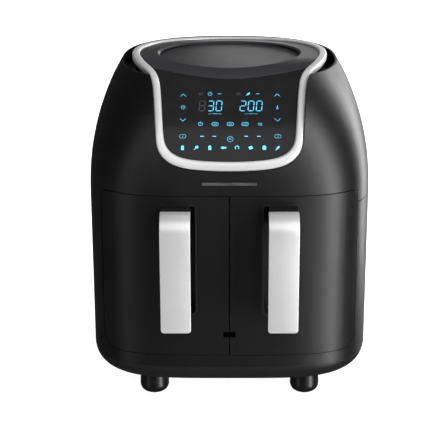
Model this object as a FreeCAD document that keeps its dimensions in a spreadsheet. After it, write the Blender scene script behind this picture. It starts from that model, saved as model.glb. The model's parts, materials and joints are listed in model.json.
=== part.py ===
"""Dual-basket air fryer, built as an assembly of separate pieces.

Frame: X to the right, -Y to the front, +Z up, millimetres. The origin lies on the floor in the
middle of the whole footprint, handles and cord gland included. Every piece is drawn about the
housing's own centre line, and frame_shift then moves it into that frame. The pieces of the right
half are drawn, and those of the left half are their mirror images.
"""
import FreeCAD
import Part
import Sketcher
import math
import os
import re

Vector = FreeCAD.Vector
Rotation = FreeCAD.Rotation

# Driving sizes, in millimetres unless the name says otherwise.
SIZES = {
    # housing
    "body_width": 316, "body_depth": 345, "body_roundness": 4.3,
    "rim_height": 368, "seam_height": 236, "crease_height": 55, "floor_clearance": 30,
    "shell_wall": 3, "base_roll": 34, "seam_gap": 0.8, "crease_gap": 0.2,
    "channel_side": 11.5, "channel_front": 21, "channel_depth": 26,
    "taper_power": 2.35, "rim_roundness": 2.4,
    # control head: the lid, the panel and the ring round both
    "head_radius": 111.5, "head_tilt": 40,
    "lid_rise": 8, "lid_back_drop": 5, "lid_front_drop": 10, "lid_front_inset": 9.5,
    "panel_foot_rise": 42, "panel_foot_inset": 2.5, "panel_bow": 1.6,
    "shoulder_inset": 4.3, "leg_top_width": 84.6, "leg_foot_width": 78.4,
    "ring_width": 8.6, "ring_foot_width": 10.2, "ring_thickness": 8, "ring_gap": 0.4,
    "lid_recess": 3.2, "lid_thickness": 3, "lid_seam_radius": 173, "lid_seam_inset": 1,
    "dish_border": 34.1, "dish_depth": 4.8, "dish_wall": 5,
    "carrier_wall": 3, "carrier_inset": 3, "board_depth": 10, "board_half_width": 62,
    "board_foot_gap": 16, "board_head_gap": 2, "board_thickness": 2, "board_edge_gap": 4,
    "badge_width": 58, "badge_height": 3.2, "badge_shift": 0.5, "badge_thickness": 0.9,
    # drawer fronts
    "drawer_side": 19.5, "drawer_rise": 15, "drawer_sill": 14.1, "drawer_taper": -1,
    "drawer_gap": 0.6, "drawer_split": 1.2, "drawer_corner_top": 9, "drawer_corner_bottom": 14,
    "drawer_depth": 36.5, "front_wall": 3, "liner_thickness": 3, "liner_gap": 0.2, "fit_gap": 0.3,
    "slot_half_width": 6.6, "slot_sill": 20.9, "slot_height": 6.7,
    "keeper_gap": 0.5, "keeper_round": 1.5,
    # finger pockets and handles
    "handle_centre": 57, "handle_width": 32, "handle_reach": 38, "handle_overhang": 4.6,
    "handle_gap": 0.4, "handle_bend": 20, "strip_thickness": 2, "core_thickness": 6,
    "strip_land": 1, "arm_height": 26, "arm_round": 14, "core_inset": 1,
    "pocket_half_width": 20.15, "pocket_shift": 2.15, "pocket_sill": 46.5, "pocket_head": 8.6,
    "pocket_depth": 24.5, "pocket_wall": 2, "pocket_corner": 7, "pocket_top_corner": 3,
    "pocket_gap": 0.15, "handle_screw_pitch": 16,
    # cavities and what hangs in them
    "frame_gap": 1, "frame_thickness": 3, "cavity_inner": 8, "cavity_side": 22,
    "cavity_rear": 46.5, "cavity_sill": 6.4, "cavity_head": 19.5, "sheet": 1.2,
    "divider_thickness": 1.6, "assembly_gap": 0.2, "seat_gap": 0.05,
    "guard_side_gap": 6, "fan_tip_gap": 12, "fan_blade_height": 8, "fan_hub_radius": 8,
    "shaft_radius": 3, "bearing_gap": 0.05, "shaft_hole_radius": 6,
    "element_edge": 8, "element_pitch": 16, "element_tube": 3.2, "element_drop": 20.5,
    "element_lead_gap": 9,
    "guard_drop": 28.5, "guard_thickness": 1.2, "guard_hole": 4, "guard_post": 1.8,
    "cooling_fan_radius": 34, "motor_radius": 29, "motor_height": 32, "motor_lift": 24.5,
    "bracket_sheet": 1.5, "bracket_span": 84, "bracket_width": 60,
    "sensor_radius": 2.5, "sensor_offset": 40, "sensor_back": 70, "cutout_back": 40,
    # baskets and crisper plates
    "basket_gap": 6, "basket_rear_gap": 8, "basket_lift": 4.5, "basket_height": 106,
    "basket_wall": 1.5, "basket_corner": 20, "basket_edge": 12,
    "rim_flange": 3.8, "runner_depth": 5, "runner_height": 3.6,
    "plate_gap": 2.5, "plate_lift": 12.5, "plate_thickness": 1.2, "plate_hole": 3,
    "plate_pitch": 14, "plate_grip": 11, "bumper_radius": 4.5, "bumper_inset": 22,
    # switch, feet, grille, gland and fixings
    "switch_lift": 9.5, "switch_inset": 26, "plunger_radius": 1.95, "plunger_gap": 0.05,
    "foot_inset": 72, "foot_end_inset": 54.5, "foot_radius": 16.5, "foot_round": 9,
    "pad_radius": 6.3, "pad_height": 3, "pad_seat": 3,
    "grille_half_width": 55, "grille_drop": 60, "grille_height": 44, "grille_slot": 4,
    "gland_offset": 45, "gland_rise": 43, "gland_bore": 3.6, "gland_radius": 8,
    "gland_reach": 8, "gland_tail": 14,
    "screw_radius": 1.8, "screw_head_radius": 3.6, "screw_head_height": 2, "screw_gap": 0.1,
}

# Places and sizes that follow from the driving sizes.
RULES = {
    "frame_shift": "(handle_reach - gland_reach) / 2",
    "half_width": "body_width / 2",
    "half_depth": "body_depth / 2",
    "taper_side": "half_width - head_radius - channel_side",
    "taper_front": "half_depth - head_radius - channel_front",
    "channel_floor": "rim_height - channel_depth",
    "lid_height": "rim_height + lid_rise",
    "lid_back_height": "lid_height - lid_back_drop",
    "lid_front_height": "lid_height - lid_front_drop",
    "lid_front_reach": "head_radius - lid_front_inset",
    "lid_seam_reach": "lid_front_reach - lid_seam_inset",
    "panel_foot_height": "seam_height + panel_foot_rise",
    "shoulder_width": "head_radius - shoulder_inset",
    "dish_radius": "head_radius - dish_border",
    "carrier_skirt_radius": "head_radius - carrier_inset",
    "drawer_half_width": "half_width - drawer_side",
    "drawer_top": "seam_height + drawer_rise",
    "drawer_bottom": "crease_height + drawer_sill",
    "badge_middle": "(drawer_top + panel_foot_height) / 2 + badge_shift",
    "slot_bottom": "drawer_bottom + slot_sill",
    "frame_front": "drawer_depth - half_depth + frame_gap",
    "drawer_back": "drawer_depth - half_depth",
    "basket_front": "drawer_back - 0.5",
    "pocket_top": "drawer_top - pocket_head",
    "pocket_bottom": "drawer_bottom + pocket_sill",
    "pocket_back": "pocket_depth - half_depth",
    "handle_top": "pocket_top - pocket_wall - handle_gap",
    "handle_foot": "pocket_bottom - handle_overhang",
    "handle_screw_height": "handle_top - arm_height / 2",
    "cavity_outer": "half_width - cavity_side",
    "cavity_back": "half_depth - cavity_rear",
    "cavity_floor": "drawer_bottom + cavity_sill",
    "cavity_ceiling": "drawer_top - cavity_head",
    "ceiling_top": "cavity_ceiling + sheet",
    "fan_offset": "(cavity_inner + cavity_outer) / 2",
    "guard_radius": "(cavity_outer - cavity_inner) / 2 - guard_side_gap",
    "fan_radius": "guard_radius - fan_tip_gap",
    "element_radius": "guard_radius - element_edge",
    "element_inner_radius": "element_radius - element_pitch",
    "basket_inner": "cavity_inner + basket_gap",
    "basket_outer": "cavity_outer - basket_gap",
    "basket_back": "cavity_back - basket_rear_gap",
    "basket_floor": "cavity_floor + basket_lift",
    "basket_top": "basket_floor + basket_height",
    "flange_underside": "basket_top - basket_wall",
    "plate_underside": "basket_floor + basket_wall + plate_lift",
    "switch_height": "cavity_ceiling + switch_lift",
    "switch_offset": "cavity_outer - switch_inset",
    "foot_offset": "half_width - foot_inset",
    "foot_reach": "half_depth - foot_end_inset",
    "grille_bottom": "seam_height - grille_drop",
    "gland_height": "crease_height + gland_rise",
}

doc = FreeCAD.newDocument("air_fryer")
dims = doc.addObject("Spreadsheet::Sheet", "dims")


def fill_sheet():
    """Write the driving sizes as numbers and the places that follow from them as formulas."""
    cells = [(name, str(size)) for name, size in SIZES.items()]
    cells += [(name, "=" + rule) for name, rule in RULES.items()]
    for row, (name, content) in enumerate(cells, 1):
        dims.set("A%d" % row, name)
        dims.set("B%d" % row, content)
        dims.setAlias("B%d" % row, name)
    doc.recompute()
    return {name for name, content in cells}


NAMES = fill_sheet()
nodes = {}


def bound(rule):
    """Turn a rule such as 'half_width - shell_wall' into an expression on the sheet."""
    return re.sub(r"[a-z][a-z_]*", lambda word: "dims." + word.group()
                  if word.group() in NAMES else word.group(), str(rule))


def size(rule):
    """The value of a rule in millimetres."""
    found = dims.evalExpression(bound(rule))
    return float(getattr(found, "Value", found))


def place(thing, x=0, y=0, z=0):
    """Bind the three coordinates of a thing's own origin."""
    for axis, rule in zip("xyz", (x, y, z)):
        thing.setExpression("Placement.Base." + axis, bound(rule))
    return thing


def box(name, x, y, z, length, width, height):
    """A block from its lowest corner and its three sizes."""
    block = doc.addObject("Part::Box", name)
    block.setExpression("Length", bound(length))
    block.setExpression("Width", bound(width))
    block.setExpression("Height", bound(height))
    return place(block, x, y, z)


TURNS = {"z": Rotation(), "y": Rotation(Vector(1, 0, 0), -90), "x": Rotation(Vector(0, 1, 0), 90)}


def rod(name, radius, length, x=0, y=0, z=0, along="z"):
    """A round bar that starts at a point and runs along a positive axis."""
    bar = doc.addObject("Part::Cylinder", name)
    bar.setExpression("Radius", bound(radius))
    bar.setExpression("Height", bound(length))
    bar.Placement.Rotation = TURNS[along]
    return place(bar, x, y, z)


def cut(name, base, *tools):
    """The base with every tool taken away."""
    result = doc.addObject("Part::Cut", name)
    result.Base = base
    result.Tool = tools[0] if len(tools) == 1 else joined(name + "_tools", *tools)
    return result


def joined(name, *pieces):
    """Several solids fused into one."""
    result = doc.addObject("Part::MultiFuse", name)
    result.Shapes = list(pieces)
    return result


def shared(name, *pieces):
    """The volume that all the given solids share."""
    result = doc.addObject("Part::MultiCommon", name)
    result.Shapes = list(pieces)
    return result


def group(name, *pieces):
    """Separate solids kept together under one name."""
    result = doc.addObject("Part::Compound", name)
    result.Links = list(pieces)
    return result


def fixed_shape(name, shape):
    """A helper whose form no primitive gives: a curved outline, or a block with a curved face."""
    result = doc.addObject("Part::Feature", name)
    result.Shape = shape
    return result


def outline_body(name, plane, corners, length, x=0, y=0, z=0):
    """A pad of a straight-sided outline; each corner is a pair of rules in the sketch's plane.

    XY pads run along +Z, XZ pads along -Y and YZ pads along +X, from the body's own origin.
    """
    body = doc.addObject("PartDesign::Body", name)
    sketch = body.newObject("Sketcher::SketchObject", name + "_outline")
    support = [part for part in body.Origin.OriginFeatures if part.Role == plane + "_Plane"][0]
    sketch.AttachmentSupport = (support, "")
    sketch.MapMode = "FlatFace"
    spots = [Vector(size(across), size(up), 0) for across, up in corners]
    for index, spot in enumerate(spots):
        sketch.addGeometry(Part.LineSegment(spot, spots[(index + 1) % len(spots)]))
    for index in range(len(spots)):
        follower = (index + 1) % len(spots)
        sketch.addConstraint(Sketcher.Constraint("Coincident", index, 2, follower, 1))
    for index, (across, up) in enumerate(corners):
        for kind, rule, reach in (("DistanceX", across, spots[index].x),
                                  ("DistanceY", up, spots[index].y)):
            place_in = sketch.addConstraint(Sketcher.Constraint(kind, -1, 1, index, 1, reach))
            sketch.setExpression("Constraints[%d]" % place_in, bound(rule))
    pad = body.newObject("PartDesign::Pad", name + "_pad")
    pad.Profile = sketch
    pad.setExpression("Length", bound(length))
    sketch.Visibility = False
    place(body, x, y, z)
    doc.recompute()
    return body


def rounded(body, radius, *spots, direction):
    """Fillet the pad's edges that run along a direction and pass the given corners.

    A spot gives the edge's two coordinates across the direction, as rules in the body's frame.
    """
    base = body.Tip
    wanted = []
    keep = [axis for axis in "xyz" if axis != direction]
    for number, edge in enumerate(base.Shape.Edges, 1):
        first, last = edge.Vertexes[0].Point, edge.Vertexes[-1].Point
        if abs(getattr(first - last, direction)) < 1e-6:
            continue
        for spot in spots:
            gap = sum(abs(getattr(point, axis) - size(rule)) for point in (first, last)
                      for axis, rule in zip(keep, spot))
            if gap < 1e-4:
                wanted.append("Edge%d" % number)
    if len(wanted) != len(spots):
        raise ValueError("%s: %d of %d edges found" % (body.Name, len(wanted), len(spots)))
    fillet = body.newObject("PartDesign::Fillet", body.Name + "_round")
    fillet.Base = (base, wanted)
    fillet.setExpression("Radius", bound(radius))
    body.Tip = fillet
    doc.recompute()
    return body


def node(name, thing):
    """Name a finished piece of the right half or the middle, and move it into the frame."""
    thing.Label = name
    thing.setExpression("Placement.Base.y",
                        bound("frame_shift") if not thing.ExpressionEngine else moved_rule(thing))
    nodes[name] = thing
    return thing


def moved_rule(thing):
    """The rule that already places a thing along Y, with the frame's shift added."""
    for path, rule in thing.ExpressionEngine:
        if path.lstrip(".") == "Placement.Base.y":
            return "(%s) + dims.frame_shift" % rule
    return bound("frame_shift")


def mirrored(thing):
    """The same piece on the other side of the appliance's middle plane."""
    image = doc.addObject("Part::Mirroring", thing.Name + "_mirror")
    image.Source = thing
    image.Base = Vector(0, 0, 0)
    image.Normal = Vector(1, 0, 0)
    return image


def pair(name, thing):
    """A piece that exists on both sides: the right one, and its mirror image on the left."""
    right = node("right_" + name, thing)
    left = mirrored(right)
    left.Label = "left_" + name
    nodes["left_" + name] = left


def both(name, thing):
    """One node that holds a solid of the right half and its mirror image."""
    return group(name, thing, mirrored(thing))


# ---------------------------------------------------------------- housing sections

def plan_wire(half_width, half_depth, roundness, height):
    """A closed superellipse, the housing's plan at one height."""
    points = []
    count = 48
    for step in range(count):
        angle = 2 * math.pi * step / count
        across, along = math.cos(angle), math.sin(angle)
        reach = (abs(across / half_width) ** roundness
                 + abs(along / half_depth) ** roundness) ** (-1 / roundness)
        points.append(Vector(reach * across, reach * along, height))
    curve = Part.BSplineCurve()
    curve.interpolate(Points=points, PeriodicFlag=True)
    return Part.Wire(curve.toShape())


def loft(name, wires):
    """A solid through a stack of plan sections."""
    result = doc.addObject("Part::Loft", name)
    result.Sections = [fixed_shape("%s_section_%d" % (name, index), wire)
                       for index, wire in enumerate(wires)]
    result.Solid = True
    return result


def body_prism(name, inset, bottom, top):
    """The straight-sided middle of the housing, drawn in by an inset."""
    wire = plan_wire(size("half_width") - inset, size("half_depth") - inset,
                     size("body_roundness"), bottom)
    return fixed_shape(name, Part.Face(wire).extrude(Vector(0, 0, top - bottom)))


def upper_plan(share, inset, height):
    """The plan of the tapering top at a share of the way from the seam to the rim."""
    draw = share ** size("taper_power")
    blend = share ** 1.3
    roundness = size("body_roundness") * (1 - blend) + size("rim_roundness") * blend
    return plan_wire(size("half_width") - inset - size("taper_side") * draw,
                     size("half_depth") - inset - size("taper_front") * draw, roundness, height)


def upper_loft(name, inset, below, above):
    """The tapering top of the housing, drawn in by an inset and run past both ends."""
    start, end = size("seam_height"), size("rim_height")
    wires = []
    for share in (0, 0.16, 0.32, 0.48, 0.62, 0.75, 0.87, 1):
        height = start + share * (end - start)
        height += (above if share == 1 else 0) - (below if share == 0 else 0)
        wires.append(upper_plan(share, inset, height))
    return loft(name, wires)


def base_loft(name, inset, lift, above):
    """The underside, which rolls in along a quarter ellipse to a flat bottom."""
    start = size("crease_height - crease_gap / 2")
    drop = start - size("floor_clearance") - lift
    wires = []
    for degrees in (0, 14, 28, 42, 55, 67, 78, 88):
        angle = math.radians(degrees)
        draw = inset + size("base_roll") * (1 - math.cos(angle))
        height = start - drop * math.sin(angle) / math.sin(math.radians(88))
        wires.append(plan_wire(size("half_width") - draw, size("half_depth") - draw,
                               size("body_roundness"), height + (above if degrees == 0 else 0)))
    return loft(name, wires)


def drawer_outline(name, spread, inner, back, half_width="drawer_half_width"):
    """The front view of one drawer's face, grown by a spread, as a pad along -Y from its back."""
    top = "drawer_top + %s" % spread
    foot = "drawer_bottom - (%s)" % spread
    outer_top = "%s + %s" % (half_width, spread)
    outer_foot = "%s - drawer_taper + %s" % (half_width, spread)
    body = outline_body(name, "XZ", [(inner, foot), (outer_foot, foot), (outer_top, top),
                                     (inner, top)], "body_depth", y=back)
    rounded(body, "drawer_corner_top + %s" % spread, (outer_top, top), direction="y")
    rounded(body, "drawer_corner_bottom + %s" % spread, (outer_foot, foot), direction="y")
    return body


def make_housing():
    """Upper and lower shells and the base tray."""
    gap = size("seam_gap") / 2
    wall = size("shell_wall")
    opening = drawer_outline("drawer_opening", "drawer_gap", "-2", "frame_front")

    lower = body_prism("lower_outer", 0, size("crease_height + crease_gap / 2"),
                       size("seam_height") - gap)
    lower_inner = body_prism("lower_inner", wall, size("crease_height") - 1,
                             size("seam_height") + 1)
    vent_hole = box("vent_hole", "-grille_half_width", "half_depth - 2 * shell_wall",
                    "grille_bottom", "2 * grille_half_width", "4 * shell_wall", "grille_height")
    gland_hole = rod("gland_hole", "gland_radius", "4 * shell_wall", "gland_offset",
                     "half_depth - 2 * shell_wall", "gland_height", along="y")
    node("lower_housing", cut("lower_housing", lower, lower_inner, opening, mirrored(opening),
                              vent_hole, gland_hole))

    upper = upper_loft("upper_outer", 0, -gap, 0)
    upper_inner = upper_loft("upper_inner", wall, 1, 1)
    notch = drawer_outline("upper_opening", "drawer_gap", "-2", "frame_front")
    head_opening = head_piece("head_opening", -size("ring_gap"), size("ring_thickness") + 4, -60)
    node("upper_housing", cut("upper_housing", upper, upper_inner, notch, mirrored(notch),
                              head_opening))

    tray = base_loft("tray_outer", 0, 0, 0)
    tray_inner = base_loft("tray_inner", wall, wall, 1)
    holes = [rod("tray_screw_hole_%d" % index, "screw_radius + 0.2", "4 * shell_wall", x, y,
                 "floor_clearance - shell_wall")
             for index, (x, y) in enumerate(BASE_SCREWS)]
    node("base_tray", cut("base_tray", tray, tray_inner, *holes))


BASE_SCREWS = [("%s * foot_offset * 0.62" % x, "%s * foot_reach * 0.8" % y)
               for x in (-1, 1) for y in (-1, 1)]


# ---------------------------------------------------------------- control head

def head_profile():
    """Side view of the head's skin, from the panel's foot up and over the lid to the back."""
    foot, crest = size("panel_foot_height"), size("lid_height")
    front_y = -size("half_depth") + size("panel_foot_inset")
    edge_y, edge_z = -size("lid_front_reach"), size("lid_front_height")
    points = []
    for share in (-0.3, -0.15, 0, 0.18, 0.36, 0.54, 0.72, 0.87, 1):
        points.append(Vector(0, front_y + (edge_y - front_y) * max(share, 0) ** size("panel_bow"),
                             foot + (edge_z - foot) * share))
    rise = crest - edge_z
    for reach, climb in ((0.83, 0.62), (0.58, 0.94), (0.2, 1)):
        points.append(Vector(0, edge_y * reach, edge_z + rise * climb))
    back = size("head_radius")
    points.append(Vector(0, back * 0.4, crest - (crest - size("lid_back_height")) * 0.2))
    points.append(Vector(0, back, size("lid_back_height")))
    points.append(Vector(0, back * 1.2, size("lid_back_height") - 2.5))
    curve = Part.BSplineCurve()
    curve.interpolate(points)
    return curve


def tilt_direction():
    """The direction that the head's outline is drawn along: up, and out to the front."""
    angle = math.radians(size("head_tilt"))
    return Vector(0, -math.sin(angle), math.cos(angle))


def head_block(name, drop):
    """Everything under the head's skin, once the skin is moved down along the tilt."""
    skin = head_profile().toShape()
    low = size("seam_height") - 20
    first, last = skin.Vertexes[0].Point, skin.Vertexes[-1].Point
    corners = [last, Vector(0, last.y, low), Vector(0, first.y, low), first]
    edges = [skin] + [Part.makeLine(corners[i], corners[i + 1]) for i in range(3)]
    face = Part.Face(Part.Wire(Part.__sortEdges__(edges)))
    half = size("half_width")
    face.translate(Vector(-half, 0, 0) - tilt_direction() * drop)
    return fixed_shape(name, face.extrude(Vector(2 * half, 0, 0)))


def flat_outline(length):
    """The ring's outer edge on the head's skin once it is unrolled flat.

    The first number is across, the second runs along the skin from the lid's middle to the back.
    The length is that of the skin from the lid's middle down to the panel's foot.
    """
    radius = size("head_radius")
    shoulder, top, foot = size("shoulder_width"), size("leg_top_width"), size("leg_foot_width")
    half = [(radius * math.cos(math.radians(a)), radius * math.sin(math.radians(a)))
            for a in (90, 72, 54, 36, 18, 0)]
    half += [(shoulder, -42), (shoulder * 0.907, -76), (top + 1.9, -101), (top - 2, -124)]
    half += [(foot + 1.9, -155), (foot, -length + 37), (foot - 2.2, -length + 25),
             (foot - 8.4, -length + 15), (foot - 18.4, -length + 7.7), (foot - 32.4, -length + 3.2),
             (foot - 53.4, -length + 0.8), (0, -length)]
    left = [(-x, s) for x, s in half[1:-1]]
    curve = Part.BSplineCurve()
    curve.interpolate(Points=[Vector(x, s, 0) for x, s in half + left[::-1]], PeriodicFlag=True)
    return curve


def ring_inset(s, share):
    """How far in from the outer edge a line lies: the band is a little wider at its foot."""
    blend = min(max((-s - 175) / 30, 0), 1)
    width = size("ring_width") + (size("ring_foot_width") - size("ring_width")) * blend
    return share * width


def head_wire(share, inset):
    """The outline on the tilted plane, drawn in by a share of the ring's width and an inset."""
    skin = head_profile()
    start = skin.FirstParameter
    middle_length = skin.length(start, skin.parameter(Vector(0, 0, size("lid_height"))))
    foot = Vector(0, size("panel_foot_inset") - size("half_depth"), size("panel_foot_height"))
    flat = flat_outline(middle_length - skin.length(start, skin.parameter(foot)))
    skin_edge = skin.toShape()
    angle = math.radians(size("head_tilt"))
    side = Vector(0, math.cos(angle), math.sin(angle))
    points = []
    count = 72
    for step in range(count):
        at = flat.FirstParameter + (flat.LastParameter - flat.FirstParameter) * step / count
        point = flat.value(at)
        tangent = Vector(*flat.tangent(at)[0])
        inward = Vector(tangent.y, -tangent.x, 0)
        if inward.dot(Vector(0, -40, 0) - point) < 0:
            inward = -inward
        spot = point + inward * (ring_inset(point.y, share) + inset)
        on_skin = skin_edge.valueAt(skin_edge.getParameterByLength(middle_length + spot.y))
        points.append(Vector(spot.x, 0, 0) + side * on_skin.dot(side))
    curve = Part.BSplineCurve()
    curve.interpolate(Points=points, PeriodicFlag=True)
    return Part.Wire(curve.toShape())


def head_prism(name, share, inset):
    """A long prism along the tilt, with the head's outline as its section."""
    reach = 2 * size("rim_height")
    face = Part.Face(head_wire(share, inset))
    face.translate(tilt_direction() * -reach / 2)
    return fixed_shape(name, face.extrude(tilt_direction() * reach))


def head_piece(name, inset, deep, high, share=0):
    """A slab of the head between two depths under its skin, cut to its outline."""
    slab = cut(name + "_slab", head_block(name + "_top", high), head_block(name + "_low", deep))
    return shared(name, slab, head_prism(name + "_edge", share, inset))


def make_head():
    """Trim ring, lid plate, touch panel, carrier, boards and the plain badge."""
    ring_deep, gap = size("ring_thickness"), size("ring_gap")
    recess = size("lid_recess")
    ring = head_piece("ring_slab", 0, ring_deep, 0)
    node("trim_ring", cut("trim_ring", ring, head_prism("ring_hole", 1, 0)))

    seam_y = "lid_seam_radius - lid_seam_reach"
    inside = head_piece("lid_slab", gap, recess + size("lid_thickness"), recess, share=1)
    lid_limit = rod("lid_limit", "lid_seam_radius - ring_gap / 2", "rim_height", 0, seam_y,
                    "seam_height")
    dish = doc.addObject("Part::Cone", "dish")
    dish.setExpression("Radius1", bound("dish_radius"))
    dish.setExpression("Radius2", bound("dish_radius + 3 * dish_wall"))
    dish.setExpression("Height", bound("3 * dish_depth"))
    place(dish, 0, 0, "lid_height - lid_recess * 0.766 - dish_depth")
    pan = rod("dish_pan", "dish_radius + dish_wall + 2", "lid_thickness", 0, 0,
              "lid_height - lid_recess * 0.766 - dish_depth - lid_thickness + 0.01")
    lid_flat = cut("lid_flat", shared("lid_border", inside, lid_limit), dish)
    node("lid_plate", joined("lid_plate", lid_flat, pan))

    front = head_piece("panel_slab", gap, recess + size("lid_thickness"), recess, share=1)
    panel_limit = rod("panel_limit", "lid_seam_radius + ring_gap / 2", "rim_height", 0, seam_y,
                      "seam_height")
    node("touch_panel", cut("touch_panel", front, panel_limit))

    make_carrier(ring_deep + gap)

    board_foot = "panel_foot_height + board_foot_gap"
    board_window = box("board_window", "-board_half_width", "-half_depth", board_foot,
                       "2 * board_half_width", "half_depth",
                       "channel_floor - board_head_gap - (%s)" % board_foot)
    deep = ring_deep + size("board_depth")
    board = head_piece("board_slab", size("board_edge_gap"), deep + size("board_thickness"), deep,
                       share=1)
    node("control_board", shared("control_board", board, board_window))

    badge = outline_body("badge_bar", "XZ", [("-badge_width / 2", "badge_middle - badge_height / 2"),
                                             ("badge_width / 2", "badge_middle - badge_height / 2"),
                                             ("badge_width / 2", "badge_middle + badge_height / 2"),
                                             ("-badge_width / 2", "badge_middle + badge_height / 2")],
                         "badge_thickness", y="-half_depth + 0.7")
    node("badge_bar", badge)


def make_carrier(top_drop):
    """The black frame under the ring: a skirt round the lid, a floor, and a bezel in front."""
    wall = size("carrier_wall")
    floor = size("channel_floor")
    plate = head_piece("carrier_plate", 1.5, top_drop + wall, top_drop)
    window = head_prism("carrier_window", 1, 9)
    bezel = cut("carrier_bezel", plate, window)
    skirt = cut("carrier_skirt_tube",
                rod("carrier_skirt", "carrier_skirt_radius", "lid_height - channel_floor", 0, 0,
                    "channel_floor"),
                rod("carrier_bore", "carrier_skirt_radius - carrier_wall",
                    "lid_height - channel_floor + 2", 0, 0, "channel_floor - 1"))
    skirt_under = shared("carrier_skirt_cut", skirt, head_block("carrier_skirt_top", top_drop))
    share = (floor + wall - size("seam_height")) / (size("rim_height") - size("seam_height"))
    edge = upper_plan(share, size("shell_wall") + size("fit_gap"), floor)
    disc = fixed_shape("flange_plan", Part.Face(edge).extrude(Vector(0, 0, wall)))
    flange = cut("carrier_flange",
                 shared("flange_blank", disc, head_block("flange_top", top_drop)),
                 rod("flange_bore", "carrier_skirt_radius - carrier_wall", "rim_height", 0, 0,
                     "channel_floor - 1"),
                 *[rod("head_screw_hole_%d" % index, "screw_radius + 0.1", "3 * carrier_wall",
                       x, y, floor - wall) for index, (x, y) in enumerate(HEAD_SCREWS)])
    node("head_carrier", joined("head_carrier", bezel, skirt_under, flange))
    screws = [screw_up("head_screw_%d" % index, x, y, "channel_floor", "-1", "channel_floor - 8",
                       "8 + carrier_wall")
              for index, (x, y) in enumerate(HEAD_SCREWS)]
    node("head_screws", group("head_screws", *screws))


HEAD_SCREWS = [("carrier_skirt_radius * %.4f" % (1.07 * math.cos(math.radians(a))),
                "carrier_skirt_radius * %.4f" % (1.07 * math.sin(math.radians(a))))
               for a in (15, 70, 110, 165)]


def screw_up(name, x, y, seat, side, foot, shank):
    """A pan-head screw on a vertical axis; side is -1 when its head is above the seat."""
    stem = rod(name + "_stem", "screw_radius", shank, x, y, foot)
    head_z = "%s + carrier_wall" % seat if side == "-1" else "%s - screw_head_height" % seat
    head = rod(name + "_head", "screw_head_radius", "screw_head_height", x, y, head_z)
    return joined(name, stem, head)


# ---------------------------------------------------------------- middle of the appliance

def make_frame():
    """Front frame, divider, keeper, runners, feet, grille, gland, boards and base screws."""
    slab = box("frame_slab", "-half_width", "frame_front", "crease_height + 5", "body_width",
               "frame_thickness", "drawer_top - crease_height - 8")
    edge = body_prism("frame_edge", size("shell_wall") + 0.6, size("crease_height"),
                      size("rim_height"))
    window = outline_body("frame_window", "XZ",
                          [("cavity_inner", "cavity_floor"), ("cavity_outer", "cavity_floor"),
                           ("cavity_outer", "cavity_ceiling"), ("cavity_inner", "cavity_ceiling")],
                          "3 * frame_thickness", y="frame_front + 2 * frame_thickness")
    hole = rod("frame_plunger_hole", "plunger_radius + 0.5", "3 * frame_thickness",
               "switch_offset", "frame_front - frame_thickness", "switch_height", along="y")
    frame = cut("front_frame", shared("frame_blank", slab, edge),
                window, mirrored(window), hole, mirrored(hole))
    node("front_frame", frame)

    divider = box("centre_divider", "-divider_thickness / 2",
                  "frame_front + frame_thickness + 0.2", "cavity_floor",
                  "divider_thickness", "cavity_back - frame_front - frame_thickness - 0.4",
                  "cavity_ceiling - cavity_floor")
    node("centre_divider", divider)

    right, left = "slot_half_width - keeper_gap", "keeper_gap - slot_half_width"
    foot, head = "slot_bottom + keeper_gap", "slot_bottom + slot_height - keeper_gap"
    keeper = outline_body("centre_keeper", "XZ",
                          [(left, foot), (right, foot), (right, head), (left, head)],
                          "drawer_depth - 4", y="frame_front - 0.1")
    rounded(keeper, "keeper_round", (left, foot), (right, foot), direction="y")
    node("centre_keeper", keeper)

    runner_length = "cavity_back - frame_front - frame_thickness - 14"
    inner_runner = box("runner_inner", "cavity_inner + 0.05",
                       "frame_front + frame_thickness + 4",
                       "flange_underside - fit_gap - runner_height", "runner_depth",
                       runner_length, "runner_height")
    outer_runner = box("runner_outer", "cavity_outer - 0.05 - runner_depth",
                       "frame_front + frame_thickness + 4",
                       "flange_underside - fit_gap - runner_height", "runner_depth",
                       runner_length, "runner_height")
    node("drawer_runners", group("drawer_runners", both("runners_inner", inner_runner),
                                 both("runners_outer", outer_runner)))

    feet = []
    pads = []
    for index, (side, end) in enumerate(((-1, -1), (1, -1), (-1, 1), (1, 1))):
        x, y = "%d * foot_offset" % side, "%d * foot_reach" % end
        feet.append(make_foot("foot_%d" % index, x, y))
        pad = doc.addObject("Part::Cone", "foot_pad_%d" % index)
        pad.setExpression("Radius1", bound("pad_radius - 1.6"))
        pad.setExpression("Radius2", bound("pad_radius"))
        pad.setExpression("Height", bound("pad_height"))
        pads.append(place(pad, x, y, 0))
    node("feet", group("feet", *feet))
    node("foot_pads", group("foot_pads", *pads))

    screws = [screw_up("base_screw_%d" % index, x, y, "floor_clearance - 0.1", "1",
                       "floor_clearance - 0.1", "12") for index, (x, y) in enumerate(BASE_SCREWS)]
    node("base_screws", group("base_screws", *screws))
    make_rear()


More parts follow.
